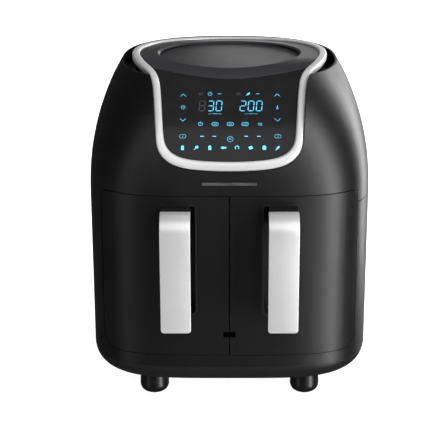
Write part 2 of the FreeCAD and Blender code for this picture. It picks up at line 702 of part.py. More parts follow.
def make_foot(name, x, y):
    """A domed cup: straight sides, and an elliptical roll to the pad's seat."""
    top = size("floor_clearance") - 0.05
    low, bend = size("pad_height"), size("pad_height") + size("foot_round")
    radius, seat = size("foot_radius"), size("pad_radius") + size("pad_seat")
    points = [Vector(seat + (radius - seat) * math.sin(math.radians(a)), 0,
                     bend - (bend - low) * math.cos(math.radians(a)))
              for a in (0, 18, 36, 54, 72, 90)]
    curve = Part.BSplineCurve()
    curve.interpolate(points)
    lines = [Part.makeLine(Vector(0, 0, low), points[0]), curve.toShape(),
             Part.makeLine(points[-1], Vector(radius - 0.6, 0, top)),
             Part.makeLine(Vector(radius - 0.6, 0, top), Vector(0, 0, top)),
             Part.makeLine(Vector(0, 0, top), Vector(0, 0, low))]
    section = fixed_shape(name + "_section", Part.Face(Part.Wire(lines)))
    cup = doc.addObject("Part::Revolution", name)
    cup.Source = section
    cup.Axis = Vector(0, 0, 1)
    cup.Base = Vector(0, 0, 0)
    cup.Angle = 360
    return place(cup, x, y, 0)


def make_rear():
    """Rear air grille, cord gland, terminal block and power board."""
    blank = box("grille_blank", "-grille_half_width + 0.2", "half_depth - shell_wall - 1.5",
                "grille_bottom + 0.2", "2 * grille_half_width - 0.4", "shell_wall + 2.5",
                "grille_height - 0.4")
    count = 12
    slots = []
    for index in range(count):
        middle = "(2 * grille_half_width - 12) * %.5f" % ((index + 0.5) / count - 0.5)
        slots.append(box("grille_slot_%d" % index, middle + " - grille_slot / 2",
                         "half_depth - 3 * shell_wall", "grille_bottom + 5", "grille_slot",
                         "6 * shell_wall", "grille_height - 10"))
    node("rear_grille", cut("rear_grille", blank, *slots))

    barrel = rod("gland_barrel", "gland_radius - assembly_gap", "shell_wall + gland_tail",
                 "gland_offset", "half_depth - shell_wall - gland_tail", "gland_height", along="y")
    collar = rod("gland_collar", "gland_radius + 3", "gland_reach", "gland_offset",
                 "half_depth", "gland_height", along="y")
    bore = rod("gland_bore", "gland_bore", "shell_wall + 30", "gland_offset",
               "half_depth - shell_wall - 16", "gland_height", along="y")
    node("cord_gland", cut("cord_gland", joined("gland_blank", barrel, collar), bore))
    node("terminal_block", box("terminal_block", "gland_offset - 12", "half_depth - 22",
                               "gland_height + 14", "34", "14", "18"))
    board = box("power_board_sheet", "-58", "cavity_back + 16", "cavity_floor + 6", "116",
                "1.8", "84")
    coil = box("power_board_coil", "-24", "cavity_back + 17.8", "cavity_floor + 40", "44", "20",
               "34")
    node("power_board", joined("power_board", board, coil))


# ---------------------------------------------------------------- one cavity, on the right

def make_cavity():
    """Liner, heater, guard, fan, motor, bracket, sensors and the drawer's switch."""
    width = "cavity_outer - cavity_inner"
    start = "frame_front + frame_thickness + 0.2"
    depth = "cavity_back - frame_front - frame_thickness - 0.2"
    outer = box("liner_outer", "cavity_inner - sheet", start, "cavity_floor - sheet",
                width + " + 2 * sheet", depth + " + sheet",
                "cavity_ceiling - cavity_floor + 2 * sheet")
    inner = box("liner_inner", "cavity_inner", start + " - 1", "cavity_floor", width,
                depth + " + 1", "cavity_ceiling - cavity_floor")
    shaft_hole = rod("liner_shaft_hole", "shaft_hole_radius", "4 * sheet", "fan_offset", 0,
                     "cavity_ceiling - sheet")
    sensor_hole = rod("liner_sensor_hole", "sensor_radius + fit_gap", "4 * sheet",
                      "fan_offset + sensor_offset", "sensor_back", "cavity_ceiling - sheet")
    leads = [rod("liner_lead_hole_%d" % index, "element_tube + fit_gap", "4 * sheet", x,
                 "element_radius", "cavity_ceiling - sheet")
             for index, x in enumerate(ELEMENT_LEADS)]
    pair("cavity_liner", cut("right_liner", outer, inner, shaft_hole, sensor_hole, *leads))

    make_heater()
    make_rotor()

    sensor = rod("sensor_rod", "sensor_radius", "26", "fan_offset + sensor_offset", "sensor_back",
                 "cavity_ceiling - 14")
    node("temperature_sensors", both("temperature_sensors", sensor))
    cutout = rod("cutout_disc", "8", "9", "fan_offset + sensor_offset", "cutout_back",
                 "ceiling_top + seat_gap")
    node("thermal_cutouts", both("thermal_cutouts", cutout))

    body = box("switch_blank", "switch_offset - 5", "frame_front + frame_thickness + 0.1",
               "switch_height - 5.5", "10", "22", "11")
    bore = rod("switch_bore", "plunger_radius + plunger_gap", "12", "switch_offset",
               "frame_front + frame_thickness", "switch_height", along="y")
    pair("switch_body", cut("right_switch", body, bore))
    plunger = rod("right_plunger", "plunger_radius", "frame_thickness + frame_gap + 7.5",
                  "switch_offset", "drawer_back - 0.5 + fit_gap", "switch_height", along="y")
    pair("switch_plunger", plunger)


ELEMENT_LEADS = ["fan_offset %s element_lead_gap" % side for side in "-+"]


def make_heater():
    """A tube bent into two rings under the fan, and the perforated guard under it."""
    level = "cavity_ceiling - element_drop"
    rings = []
    for name, radius in (("outer", "element_radius"), ("inner", "element_inner_radius")):
        ring = doc.addObject("Part::Torus", "element_" + name)
        ring.setExpression("Radius1", bound(radius))
        ring.setExpression("Radius2", bound("element_tube"))
        rings.append(place(ring, "fan_offset", 0, level))
    bridge = rod("element_bridge", "element_tube", "element_radius - element_inner_radius",
                 "fan_offset", "-element_radius", level, along="y")
    leads = [rod("element_lead_%d" % index, "element_tube", "element_drop + 14", x,
                 "element_radius", level) for index, x in enumerate(ELEMENT_LEADS)]
    pair("heating_element", joined("right_element", *rings, bridge, *leads))

    guard = rod("guard_disc", "guard_radius", "guard_thickness", "fan_offset", 0,
                "cavity_ceiling - guard_drop")
    holes = []
    for ring, (share, count) in enumerate(((0, 1), (0.22, 6), (0.43, 12), (0.64, 18), (0.84, 24))):
        for step in range(count):
            angle = 2 * math.pi * step / count
            holes.append(rod("guard_hole_%d_%d" % (ring, step), "guard_hole",
                             "4 * guard_thickness",
                             "fan_offset + guard_radius * %.5f" % (share * math.cos(angle)),
                             "guard_radius * %.5f" % (share * math.sin(angle)),
                             "cavity_ceiling - guard_drop - guard_thickness"))
    posts = [rod("guard_post_%d" % index, "guard_post", "guard_drop - seat_gap",
                 "fan_offset + %.5f * guard_radius" % (0.955 * math.cos(angle)),
                 "%.5f * guard_radius" % (0.955 * math.sin(angle)), "cavity_ceiling - guard_drop")
             for index, angle in enumerate(math.radians(a) for a in (45, 135, 225, 315))]
    pair("heater_guard", joined("right_guard", cut("guard_mesh", guard, *holes), *posts))


def make_rotor():
    """Motor shaft with its two fans, the motor, and the bracket that carries it."""
    fan_level = "cavity_ceiling - 3 - fan_blade_height"
    seat = "ceiling_top + motor_lift"
    shaft = rod("right_shaft", "shaft_radius", "motor_lift + motor_height + 28", "fan_offset", 0,
                "cavity_ceiling - 14")
    pair("motor_shaft", shaft)

    pair("convection_fan", fan("hot_fan", "fan_radius", "fan_hub_radius", "fan_blade_height",
                               fan_level, 10, "-1"))
    pair("cooling_fan", fan("cool_fan", "cooling_fan_radius", "fan_hub_radius - 1", "8",
                            "ceiling_top + 6", 7, "1"))

    can = rod("motor_can", "motor_radius", "motor_height", "fan_offset", 0, seat)
    bosses = [rod("motor_boss_low", "9", "4", "fan_offset", 0, seat + " - 4"),
              rod("motor_boss_high", "9", "4", "fan_offset", 0, seat + " + motor_height")]
    bore = rod("motor_bore", "shaft_radius + bearing_gap", "motor_height + 20", "fan_offset", 0,
               seat + " - 10")
    pair("fan_motor", cut("right_motor", joined("motor_blank", can, *bosses), bore))

    half = "bracket_span / 2"
    corners = [("-" + half, "0"), ("-" + half, "motor_lift - 0.1"), (half, "motor_lift - 0.1"),
               (half, "0"), (half + " - bracket_sheet", "0"),
               (half + " - bracket_sheet", "motor_lift - 0.1 - bracket_sheet"),
               ("-" + half + " + bracket_sheet", "motor_lift - 0.1 - bracket_sheet"),
               ("-" + half + " + bracket_sheet", "0")]
    bridge = outline_body("bracket_bridge", "XZ", corners, "bracket_width", x="fan_offset",
                          y="bracket_width / 2", z="ceiling_top + seat_gap")
    bracket = cut("motor_bracket", bridge, rod("bracket_hole", "9.3", "motor_lift + 9",
                                               "fan_offset", 0, "ceiling_top + 9"))
    node("motor_brackets", both("motor_brackets", bracket))


def fan(name, radius, hub, blade, level, count, plate_side):
    """A hub, a thin disc and straight radial blades, bored for the shaft."""
    disc_z = "%s + %s - 1" % (level, blade) if plate_side == "-1" else level
    pieces = [rod(name + "_hub", hub, blade, "fan_offset", 0, level),
              rod(name + "_disc", radius + " * 0.72", "1", "fan_offset", 0, disc_z)]
    for step in range(count):
        vane = doc.addObject("Part::Box", "%s_vane_%d" % (name, step))
        vane.setExpression("Length", bound("%s - 1" % radius))
        vane.Width = 1.2
        vane.setExpression("Height", bound(blade))
        vane.Placement.Rotation = Rotation(Vector(0, 0, 1), 360 * step / count)
        pieces.append(place(vane, "fan_offset", 0, level))
    bore = rod(name + "_bore", "shaft_radius", "60", "fan_offset", 0, level + " - 20")
    return cut(name, joined(name + "_wheel", *pieces), bore)


# ---------------------------------------------------------------- one drawer, on the right

def make_drawer():
    """Front panel, its liner, finger pocket, handle, basket, crisper plate and screws."""
    back, inner = "drawer_back", "drawer_split / 2"
    skin = body_prism("panel_skin", 0, size("crease_height"), size("rim_height"))
    hollow_skin = body_prism("panel_hollow_skin", size("front_wall"), size("crease_height"),
                             size("rim_height"))
    face = drawer_outline("panel_face", "0", inner, back)
    hollow = drawer_outline("panel_hollow", "-front_wall", inner + " + front_wall", back + " + 1")
    slot = box("panel_slot", "-slot_half_width", "-body_depth", "slot_bottom",
               "2 * slot_half_width", "body_depth", "slot_height")
    hole = pocket_outline("pocket_hole", "0", back)
    blank = shared("panel_blank", skin, face)
    room = shared("panel_room", hollow_skin, hollow)
    pair("front_panel", cut("right_panel", blank, room, slot, hole))

    sheet = drawer_outline("liner_sheet", "-front_wall - liner_gap",
                           inner + " + front_wall + liner_gap", "basket_front")
    trim = box("liner_trim", "0", "-2 * body_depth", "0", "body_width",
               "2 * body_depth + basket_front - liner_thickness", "rim_height")
    slot_liner = box("liner_slot", "-slot_half_width", "-body_depth", "slot_bottom",
                     "2 * slot_half_width", "body_depth", "slot_height")
    pair("panel_liner", cut("right_liner_panel", sheet, trim, slot_liner,
                            *basket_screw_holes("liner")))

    pocket_skin = body_prism("pocket_skin", 0.3, size("crease_height"), size("rim_height"))
    tub = shared("pocket_blank", pocket_skin,
                 pocket_outline("pocket_outer", "-pocket_gap", "pocket_back"))
    tub_room = pocket_outline("pocket_room", "-pocket_gap - pocket_wall",
                              "pocket_back - pocket_wall")
    pocket_holes = [rod("pocket_screw_hole_%d" % index, "screw_radius + screw_gap",
                        "6 * pocket_wall", x, "pocket_back - 4 * pocket_wall",
                        "handle_screw_height", along="y")
                    for index, x in enumerate(HANDLE_SCREWS)]
    pair("finger_pocket", cut("right_pocket", tub, tub_room, *pocket_holes))

    make_handle()
    make_basket()


def basket_screw_holes(name):
    """The holes that the basket's screws pass through, in the basket and in the liner."""
    return [rod("%s_screw_hole_%d" % (name, index), "screw_radius + screw_gap", "20", x,
                "drawer_back - 12", z, along="y") for index, (x, z) in enumerate(BASKET_SCREWS)]


def pocket_outline(name, spread, back):
    """Front view of the finger pocket, grown by a spread, as a pad along -Y from its back."""
    left = "handle_centre - pocket_shift - pocket_half_width - (%s)" % spread
    right = "handle_centre - pocket_shift + pocket_half_width + %s" % spread
    low, high = "pocket_bottom - (%s)" % spread, "pocket_top + %s" % spread
    body = outline_body(name, "XZ", [(left, low), (right, low), (right, high), (left, high)],
                        "body_depth", y=back)
    rounded(body, "pocket_corner + %s" % spread, (left, low), (right, low), direction="y")
    rounded(body, "pocket_top_corner + %s" % spread, (left, high), (right, high), direction="y")
    return body


BASKET_SCREWS = [("basket_inner + %d" % x, "basket_floor + %d" % z)
                 for x in (22, 94) for z in (36, 84)]
HANDLE_SCREWS = ["handle_centre %s handle_screw_pitch / 2" % side for side in "-+"]


def make_handle():
    """Satin strip that bends over at the top, and the dark core and arm behind it."""
    face = "-half_depth - handle_reach"
    low = "handle_foot"
    left = "handle_centre - handle_width / 2"
    bend_y = face + " + handle_bend + strip_land"
    strip = outline_body("strip_blank", "YZ",
                         [(face, low), (face, "handle_top"), (bend_y, "handle_top"),
                          (bend_y, "handle_top - strip_thickness"),
                          (face + " + strip_thickness", "handle_top - strip_thickness"),
                          (face + " + strip_thickness", low)], "handle_width", x=left)
    rounded(strip, "handle_bend", (face, "handle_top"), direction="x")
    rounded(strip, "handle_bend - strip_thickness",
            (face + " + strip_thickness", "handle_top - strip_thickness"), direction="x")
    pair("handle_strip", strip)

    skin_y = face + " + strip_thickness"
    leg_y = skin_y + " + core_thickness"
    back = "pocket_back - pocket_wall"
    under = "handle_top - arm_height"
    core = outline_body("core_blank", "YZ",
                        [(skin_y, low + " + 1"), (skin_y, "handle_top - strip_thickness"),
                         (bend_y, "handle_top - strip_thickness"), (bend_y, "handle_top"),
                         (back, "handle_top"), (back, under), (leg_y, under),
                         (leg_y, low + " + 1")],
                        "handle_width - 2 * core_inset", x=left + " + core_inset")
    rounded(core, "handle_bend - strip_thickness",
            (skin_y, "handle_top - strip_thickness"), direction="x")
    rounded(core, "arm_round", (leg_y, under), direction="x")
    holes = [rod("core_screw_hole_%d" % index, "screw_radius", "14", x,
                 "pocket_back - pocket_wall - 12", "handle_screw_height", along="y")
             for index, x in enumerate(HANDLE_SCREWS)]
    pair("handle_core", cut("right_core", core, *holes))


def make_basket():
    """Basket with a rim flange, crisper plate on bumpers, and the screws of the drawer."""
    blank = joined("basket_blank", bucket("basket_shell", "0"), flange_plate())
    pair("basket", cut("right_basket", blank, bucket("basket_room", "basket_wall"),
                       *basket_screw_holes("basket")))

    inset = "basket_wall + plate_gap"
    plate_front = "basket_front + " + inset
    plate = outline_body("plate_blank", "XY",
                         [("basket_inner + " + inset, plate_front),
                          ("basket_outer - (%s)" % inset, plate_front),
                          ("basket_outer - (%s)" % inset, "basket_back - (%s)" % inset),
                          ("basket_inner + " + inset, "basket_back - (%s)" % inset)],
                         "plate_thickness", z="plate_underside")
    for x in ("basket_inner + " + inset, "basket_outer - (%s)" % inset):
        for y in (plate_front, "basket_back - (%s)" % inset):
            rounded(plate, "basket_corner - (%s)" % inset, (x, y), direction="z")
    across, along = 7, 16
    middle_x, middle_y = "(basket_inner + basket_outer) / 2", "(basket_back + drawer_back) / 2"
    holes = []
    for column in range(across):
        for line in range(along):
            shift_x, shift_y = column - (across - 1) / 2, line - (along - 1) / 2
            if abs(shift_x) < 1 and abs(shift_y) < 1:
                continue
            if abs(shift_x) > 2.5 and abs(shift_y) > 6:
                continue
            holes.append(rod("plate_hole_%d_%d" % (column, line), "plate_hole",
                             "4 * plate_thickness",
                             middle_x + " + %.1f * plate_pitch" % shift_x,
                             middle_y + " + %.1f * plate_pitch" % shift_y,
                             "plate_underside - plate_thickness"))
    holes.append(rod("plate_grip", "plate_grip", "4 * plate_thickness", middle_x, middle_y,
                     "plate_underside - plate_thickness"))
    bumper_spots = [(middle_x + " + %d * ((basket_outer - basket_inner) / 2 - bumper_inset)" % side,
                     middle_y + " + %d * ((basket_back - drawer_back) / 2 - bumper_inset)" % end)
                    for side in (-1, 1) for end in (-1, 1)]
    holes += [rod("plate_bumper_hole_%d" % index, "2", "4 * plate_thickness", x, y,
                  "plate_underside - plate_thickness")
              for index, (x, y) in enumerate(bumper_spots)]
    pair("crisper_plate", cut("right_plate", plate, *holes))

    bumpers = []
    for index, (x, y) in enumerate(bumper_spots):
        foot = rod("bumper_foot_%d" % index, "bumper_radius", "plate_lift - fit_gap", x, y,
                   "plate_underside - plate_lift + fit_gap")
        stem = rod("bumper_stem_%d" % index, "2", "plate_thickness + 0.2", x, y,
                   "plate_underside - 0.1")
        cap = rod("bumper_cap_%d" % index, "3.4", "1.6", x, y,
                  "plate_underside + plate_thickness")
        bumpers.append(joined("bumper_%d" % index, foot, stem, cap))
    pair("crisper_bumpers", group("right_bumpers", *bumpers))

    screws = []
    for index, (x, z) in enumerate(BASKET_SCREWS):
        stem = rod("basket_screw_stem_%d" % index, "screw_radius", "11", x,
                   "basket_front + basket_wall - 11", z, along="y")
        head = rod("basket_screw_head_%d" % index, "screw_head_radius", "1.6", x,
                   "basket_front + basket_wall", z, along="y")
        screws.append(joined("basket_screw_%d" % index, stem, head))
    for index, x in enumerate(HANDLE_SCREWS):
        stem = rod("handle_screw_stem_%d" % index, "screw_radius", "12", x, "pocket_back - 12",
                   "handle_screw_height", along="y")
        head = rod("handle_screw_head_%d" % index, "screw_head_radius", "1.6", x, "pocket_back",
                   "handle_screw_height", along="y")
        screws.append(joined("handle_screw_%d" % index, stem, head))
    pair("drawer_screws", group("right_screws", *screws))


def bucket(name, wall):
    """A block with rounded upright corners and a rounded bottom edge, drawn in by a wall."""
    body = outline_body(name, "XY",
                        [("basket_inner + " + wall, "basket_front + " + wall),
                         ("basket_outer - " + wall, "basket_front + " + wall),
                         ("basket_outer - " + wall, "basket_back - " + wall),
                         ("basket_inner + " + wall, "basket_back - " + wall)],
                        "basket_top - basket_floor + 2 * %s" % wall, z="basket_floor + " + wall)
    for x in ("basket_inner + " + wall, "basket_outer - " + wall):
        for y in ("basket_front + " + wall, "basket_back - " + wall):
            rounded(body, "basket_corner - " + wall, (x, y), direction="z")
    edges = ["Edge%d" % number for number, edge in enumerate(body.Tip.Shape.Edges, 1)
             if all(abs(corner.Point.z) < 1e-4 for corner in edge.Vertexes)]
    block = body.Tip
    bottom = body.newObject("PartDesign::Fillet", name + "_bottom")
    bottom.Base = (block, edges)
    bottom.setExpression("Radius", bound("basket_edge - " + wall))
    body.Tip = bottom
    doc.recompute()
    return body


def flange_plate():
    """The flat rim that rests on the runners."""
    body = outline_body("basket_flange", "XY",
                        [("basket_inner - rim_flange", "basket_front"),
                         ("basket_outer + rim_flange", "basket_front"),
                         ("basket_outer + rim_flange", "basket_back + rim_flange"),
                         ("basket_inner - rim_flange", "basket_back + rim_flange")],
                        "basket_wall", z="flange_underside")
    for x in ("basket_inner - rim_flange", "basket_outer + rim_flange"):
        rounded(body, "basket_corner + rim_flange", (x, "basket_back + rim_flange"),
                direction="z")
    return body


def check_and_write():
    """Stop on any failed object, then write one file for each node."""
    doc.recompute()
    failed = [thing.Name for thing in doc.Objects
              if "Invalid" in thing.State or "Error" in thing.State]
    if failed:
        raise RuntimeError("failed: " + ", ".join(failed))
    os.makedirs("parts", exist_ok=True)
    for name, thing in nodes.items():
        shape = thing.Shape
        if shape.isNull() or not shape.isValid() or not shape.Solids:
            raise RuntimeError("no valid solid: " + name)
        print("%-24s %d solid(s) %9.1f cm3 %s" % (name, len(shape.Solids), shape.Volume / 1000,
                                                  thing.Label))
    for name, thing in nodes.items():
        thing.Shape.exportStep("parts/%s.step" % name)
    print(len(nodes), "nodes")


make_housing()
make_head()
make_frame()
make_cavity()
make_drawer()
check_and_write()
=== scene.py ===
"""Looks of a dual-basket air fryer: finishes, rounded edges, lit symbols, lights and camera."""

import json
import math

import bmesh
import bpy
from bpy.props import FloatProperty, FloatVectorProperty, PointerProperty
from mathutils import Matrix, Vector
from mathutils.bvhtree import BVHTree


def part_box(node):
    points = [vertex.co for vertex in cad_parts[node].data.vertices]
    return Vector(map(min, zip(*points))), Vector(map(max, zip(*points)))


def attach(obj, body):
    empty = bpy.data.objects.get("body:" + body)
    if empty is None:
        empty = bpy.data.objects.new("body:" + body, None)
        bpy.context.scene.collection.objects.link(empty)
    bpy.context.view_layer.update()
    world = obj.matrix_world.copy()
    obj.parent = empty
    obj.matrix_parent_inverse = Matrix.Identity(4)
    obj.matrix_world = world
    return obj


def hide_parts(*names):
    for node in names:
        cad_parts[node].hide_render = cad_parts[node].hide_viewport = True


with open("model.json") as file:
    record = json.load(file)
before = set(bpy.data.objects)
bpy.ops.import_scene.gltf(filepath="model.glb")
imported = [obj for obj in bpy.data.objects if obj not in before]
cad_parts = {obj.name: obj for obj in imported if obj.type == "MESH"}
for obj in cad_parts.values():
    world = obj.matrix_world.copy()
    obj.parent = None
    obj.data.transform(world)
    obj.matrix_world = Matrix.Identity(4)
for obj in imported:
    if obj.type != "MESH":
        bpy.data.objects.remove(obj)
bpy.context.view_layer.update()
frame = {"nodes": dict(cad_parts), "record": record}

bl_info = {
    "name": "Dual-basket air fryer",
    "version": (1, 0, 0),
    "blender": (4, 5, 0),
    "location": "View3D > Sidebar > Air fryer",
    "description": "Builds the visible pieces, finishes and studio of a dual-basket air fryer",
    "category": "Object",
}

MM = 0.001
SIDES = ("left", "right")
HOLE_RADIUS = 4                 # of the guards' holes; the rims on the plates use it as well
HOLE_SPANS = (6, 9)             # mm; the plates' holes are 6 wide, so only some of them pass
SCREW_HEAD_SPANS = (6.5, 8)
SLOT_SPANS = (10, 60)
SLAT_TURN = math.radians(40)
SLOT_MARGIN = 9.6               # the grille's height less that of its slots, in mm
BODY_OF = {node: body for body, nodes in frame["record"]["behaviour"]["bodies"].items()
           for node in nodes}
SLOT_OF = {part["node"]: part["material_slot"] for part in frame["record"]["subparts"]}


# ---------------------------------------------------------------- sizes and colours

def hex_colour(code):
    """An sRGB hex code as the linear colour that shaders work in."""
    channels = [int(code[i:i + 2], 16) / 255 for i in (1, 3, 5)]
    return tuple(c / 12.92 if c <= 0.04045 else ((c + 0.055) / 1.055) ** 2.4 for c in channels)


def colour_property(name, description, code):
    return FloatVectorProperty(name=name, description=description, subtype="COLOR", size=3,
                               min=0, max=1, default=hex_colour(code))


def length_property(name, description, millimetres):
    return FloatProperty(name=name, description=description, subtype="DISTANCE", unit="LENGTH",
                         min=0, default=millimetres * MM)


class FryerFinish(bpy.types.PropertyGroup):
    """Colours of the main finishes."""
    shell: colour_property("Housing", "Satin black of the moulded housing", "#09090A")
    tray: colour_property("Base tray", "Black of the rolled underside", "#121213")
    lid: colour_property("Lid", "Dark grey of the lid plate", "#2E2E30")
    panel: colour_property("Touch panel", "Piano black of the touch panel", "#1C1C1D")
    inner: colour_property("Inner plastic", "Textured black behind the handles", "#0E0E0F")
    ring: colour_property("Trim ring", "Satin silver plating", "#CFCFCF")
    strip: colour_property("Handle strip", "Blasted aluminium of the handles", "#E4E4E4")
    coating: colour_property("Coating", "Non-stick coating of the baskets", "#2B2B2D")
    glow: colour_property("Lit symbols", "Blue of the lit symbols", "#59C6F2")
    ghost: colour_property("Unlit symbols", "Grey of the symbols that are off", "#4C4C4E")


class FryerSizes(bpy.types.PropertyGroup):
    """Sizes of what is finer than the frame's solids."""
    ring_edge: length_property("Ring edge", "How far the ring's edges roll down", 2.6)
    strip_bend: length_property("Strip bend", "Outer radius of the handle strip's bend", 20)
    strip_corner: length_property("Strip corner", "Radius of the strip's lower corners", 3)
    strip_edge: length_property("Strip edge", "Rounding along the strip's edges", 0.6)
    moulded_edge: length_property("Moulded edge", "Rounding of moulded plastic edges", 0.4)
    symbol_line: length_property("Symbol line", "Line width of the symbols", 0.45)
    symbol_lift: length_property("Symbol lift", "Height of the symbols above the panel", 0.06)
    hole_rim: length_property("Hole rim", "Half the thickness of the rim round each hole", 0.35)
    recess_length: length_property("Recess length", "Across the recess of a screw", 3.8)
    recess_width: length_property("Recess width", "Width of each slot of a recess", 0.9)
    recess_depth: length_property("Recess depth", "Depth of the recess of a screw", 0.8)
    slat_width: length_property("Slat width", "Depth of the grille's slats", 4)
    slat_thickness: length_property("Slat thickness", "Thickness of the grille's slats", 0.9)


class FryerStudio(bpy.types.PropertyGroup):
    """Camera and lights."""
    camera_distance: length_property("Camera distance", "Camera to the housing's middle", 1500)
    camera_height: length_property("Camera height", "Camera above the floor", 660)
    camera_pitch: FloatProperty(name="Pitch", description="Angle that the camera looks down by",
                                subtype="ANGLE", default=math.radians(18.02))
    lens: FloatProperty(name="Lens", description="Focal length on a 36 mm sensor, in mm",
                        default=105.8, min=10)
    backdrop: FloatProperty(name="Floor glow", description="How much the floor lights itself",
                            default=1.02, min=0)


def settings():
    scene = bpy.context.scene
    return scene.fryer_finish, scene.fryer_sizes, scene.fryer_studio


# ---------------------------------------------------------------- shader helpers

def add(tree, kind, values=None, links=None, **fields):
    """Add a node, set its fields and socket values, and link sockets to it."""
    made = tree.nodes.new(kind)
    for field, value in fields.items():
        setattr(made, field, value)
    for socket, value in (values or {}).items():
        made.inputs[socket].default_value = value
    for socket, source in (links or {}).items():
        tree.links.new(source, made.inputs[socket])
    return made


def new_finish(name):
    """An empty material with its Principled shader; returns the material, tree and shader."""
    material = bpy.data.materials.new(name)
    material.use_nodes = True
    tree = material.node_tree
    tree.nodes.clear()
    shader = add(tree, "ShaderNodeBsdfPrincipled")
    add(tree, "ShaderNodeOutputMaterial", links={"Surface": shader.outputs[0]})
    return material, tree, shader


def noise(tree, size_mm, detail=2.0, roughness=0.5, stretch=(1, 1, 1)):
    """Noise on Object coordinates whose features are about size_mm across."""
    place = add(tree, "ShaderNodeTexCoord")
    turn = add(tree, "ShaderNodeMapping", {"Scale": stretch}, {"Vector": place.outputs["Object"]})
    return add(tree, "ShaderNodeTexNoise",
               {"Scale": 1 / (size_mm * MM), "Detail": detail, "Roughness": roughness},
               {"Vector": turn.outputs[0]})


def spread(tree, source, low, high, start=0.3, stop=0.7):
    """Map a pattern's middle range to the values low to high."""
    return add(tree, "ShaderNodeMapRange",
               {"From Min": start, "From Max": stop, "To Min": low, "To Max": high},
               {"Value": source}).outputs[0]


def tint(tree, source, colour, darker, lighter):
    """Vary a colour between a darker and a lighter share of itself."""
    ramp = add(tree, "ShaderNodeValToRGB", links={"Fac": source})
    ramp.color_ramp.elements[0].position = 0.3
    ramp.color_ramp.elements[1].position = 0.7
    ramp.color_ramp.elements[0].color = (*[c * darker for c in colour], 1)
    ramp.color_ramp.elements[1].color = (*[min(c * lighter, 1) for c in colour], 1)
    return ramp.outputs[0]


def bump(tree, shader, source, strength, distance_mm):
    """Let a pattern raise the surface by up to distance_mm."""
    made = add(tree, "ShaderNodeBump", {"Strength": strength, "Distance": distance_mm * MM},
               {"Height": source})
    tree.links.new(made.outputs[0], shader.inputs["Normal"])


def textured(name, colour, roughness, grain_mm, depth_mm, darker=0.85, lighter=1.15,
             swing=0.05, metallic=0.0, ior=1.5, coat=0.0, blotch_mm=45.0, stretch=(1, 1, 1)):
    """A moulded, coated or blasted surface: slow blotches of tone and gloss over a fine grain."""
    material, tree, shader = new_finish(name)
    blotch = noise(tree, blotch_mm, 3.0).outputs["Fac"]
    grain = noise(tree, grain_mm, 2.0, 0.6, stretch).outputs["Fac"]
    mixed = add(tree, "ShaderNodeMath", {1: 0.5}, {0: blotch}, operation="MULTIPLY_ADD")
    tree.links.new(spread(tree, grain, 0, 0.5), mixed.inputs[2])
    tree.links.new(tint(tree, mixed.outputs[0], colour, darker, lighter),
                   shader.inputs["Base Color"])
    tree.links.new(spread(tree, mixed.outputs[0], roughness - swing, roughness + swing),
                   shader.inputs["Roughness"])
    shader.inputs["Metallic"].default_value = metallic
    shader.inputs["IOR"].default_value = ior
    shader.inputs["Coat Weight"].default_value = coat
    if coat:
        shader.inputs["Coat Roughness"].default_value = 0.06
    bump(tree, shader, grain, 0.35, depth_mm)
    return material


# ---------------------------------------------------------------- finishes

def satin_abs(name, colour):
    """Moulded ABS from a spark-eroded tool: a soft, broad sheen with a faint tooth.

    The real tooth is about 0.1 mm; it is drawn at 0.9 mm so that it shows at all.
    """
    return textured(name, colour, 0.4, 0.9, 0.012, 0.8, 1.2, 0.03, blotch_mm=70)


def gloss_abs(colour):
    """ABS from a polished tool: a clear, sharp reflection with the faintest ripple."""
    return textured("gloss_abs", colour, 0.3, 6.0, 0.01, 0.9, 1.1, 0.03)


def piano_acrylic(colour):
    """Back-printed acrylic with a hard gloss coat: deep black under a mirror-clear skin."""
    return textured("piano_acrylic", colour, 0.16, 14.0, 0.006, 0.93, 1.07, 0.02, ior=1.36,
                    blotch_mm=60)


def brushed_lid(colour):
    """Satin PBT lid plate: darker grey with a slightly silky, even reflection."""
    return textured("satin_pbt", colour, 0.34, 1.2, 0.01, 0.88, 1.12, 0.03, blotch_mm=55)


def textured_nylon(colour):
    """Glass-filled nylon with a coarse leather-like tooth, which swallows most reflections."""
    return textured("textured_nylon", colour, 0.55, 1.1, 0.05, 0.75, 1.3, 0.06)


def plated_ring(colour):
    """Satin-plated ABS: bright metal whose fine pearl blasting blurs what it mirrors."""
    return textured("satin_plating", colour, 0.34, 0.8, 0.008, 0.96, 1.02, 0.04, metallic=0.35)


def blasted_aluminium(colour):
    """Bead-blasted, clear-anodised aluminium: an even pale sheen with a fine sparkle."""
    return textured("blasted_aluminium", colour, 0.4, 0.7, 0.012, 0.95, 1.04, 0.04,
                    metallic=0.66)


def galvanised_sheet(colour):
    """Aluminised steel sheet: rolled grain along its length and broad cloudy spangle."""
    return textured("aluminised_sheet", colour, 0.38, 1.4, 0.01, 0.8, 1.1, 0.09, metallic=1.0,
                    blotch_mm=16, stretch=(1, 0.15, 1))


def nonstick(colour):
    """Sprayed non-stick coating: charcoal with a tight orange peel and pale flecks."""
    material = textured("nonstick_coating", colour, 0.42, 1.6, 0.03, 0.8, 1.2, 0.06)
    tree = material.node_tree
    shader = next(n for n in tree.nodes if n.type == "BSDF_PRINCIPLED")
    base = shader.inputs["Base Color"].links[0].from_socket
    fleck = noise(tree, 1.3, 0.0).outputs["Fac"]
    mask = spread(tree, fleck, 0, 0.5, 0.70, 0.74)
    mixed = add(tree, "ShaderNodeMix", {7: (*hex_colour("#8A8A8C"), 1)}, {0: mask, 6: base},
                data_type="RGBA")
    tree.links.new(mixed.outputs[2], shader.inputs["Base Color"])
    return material


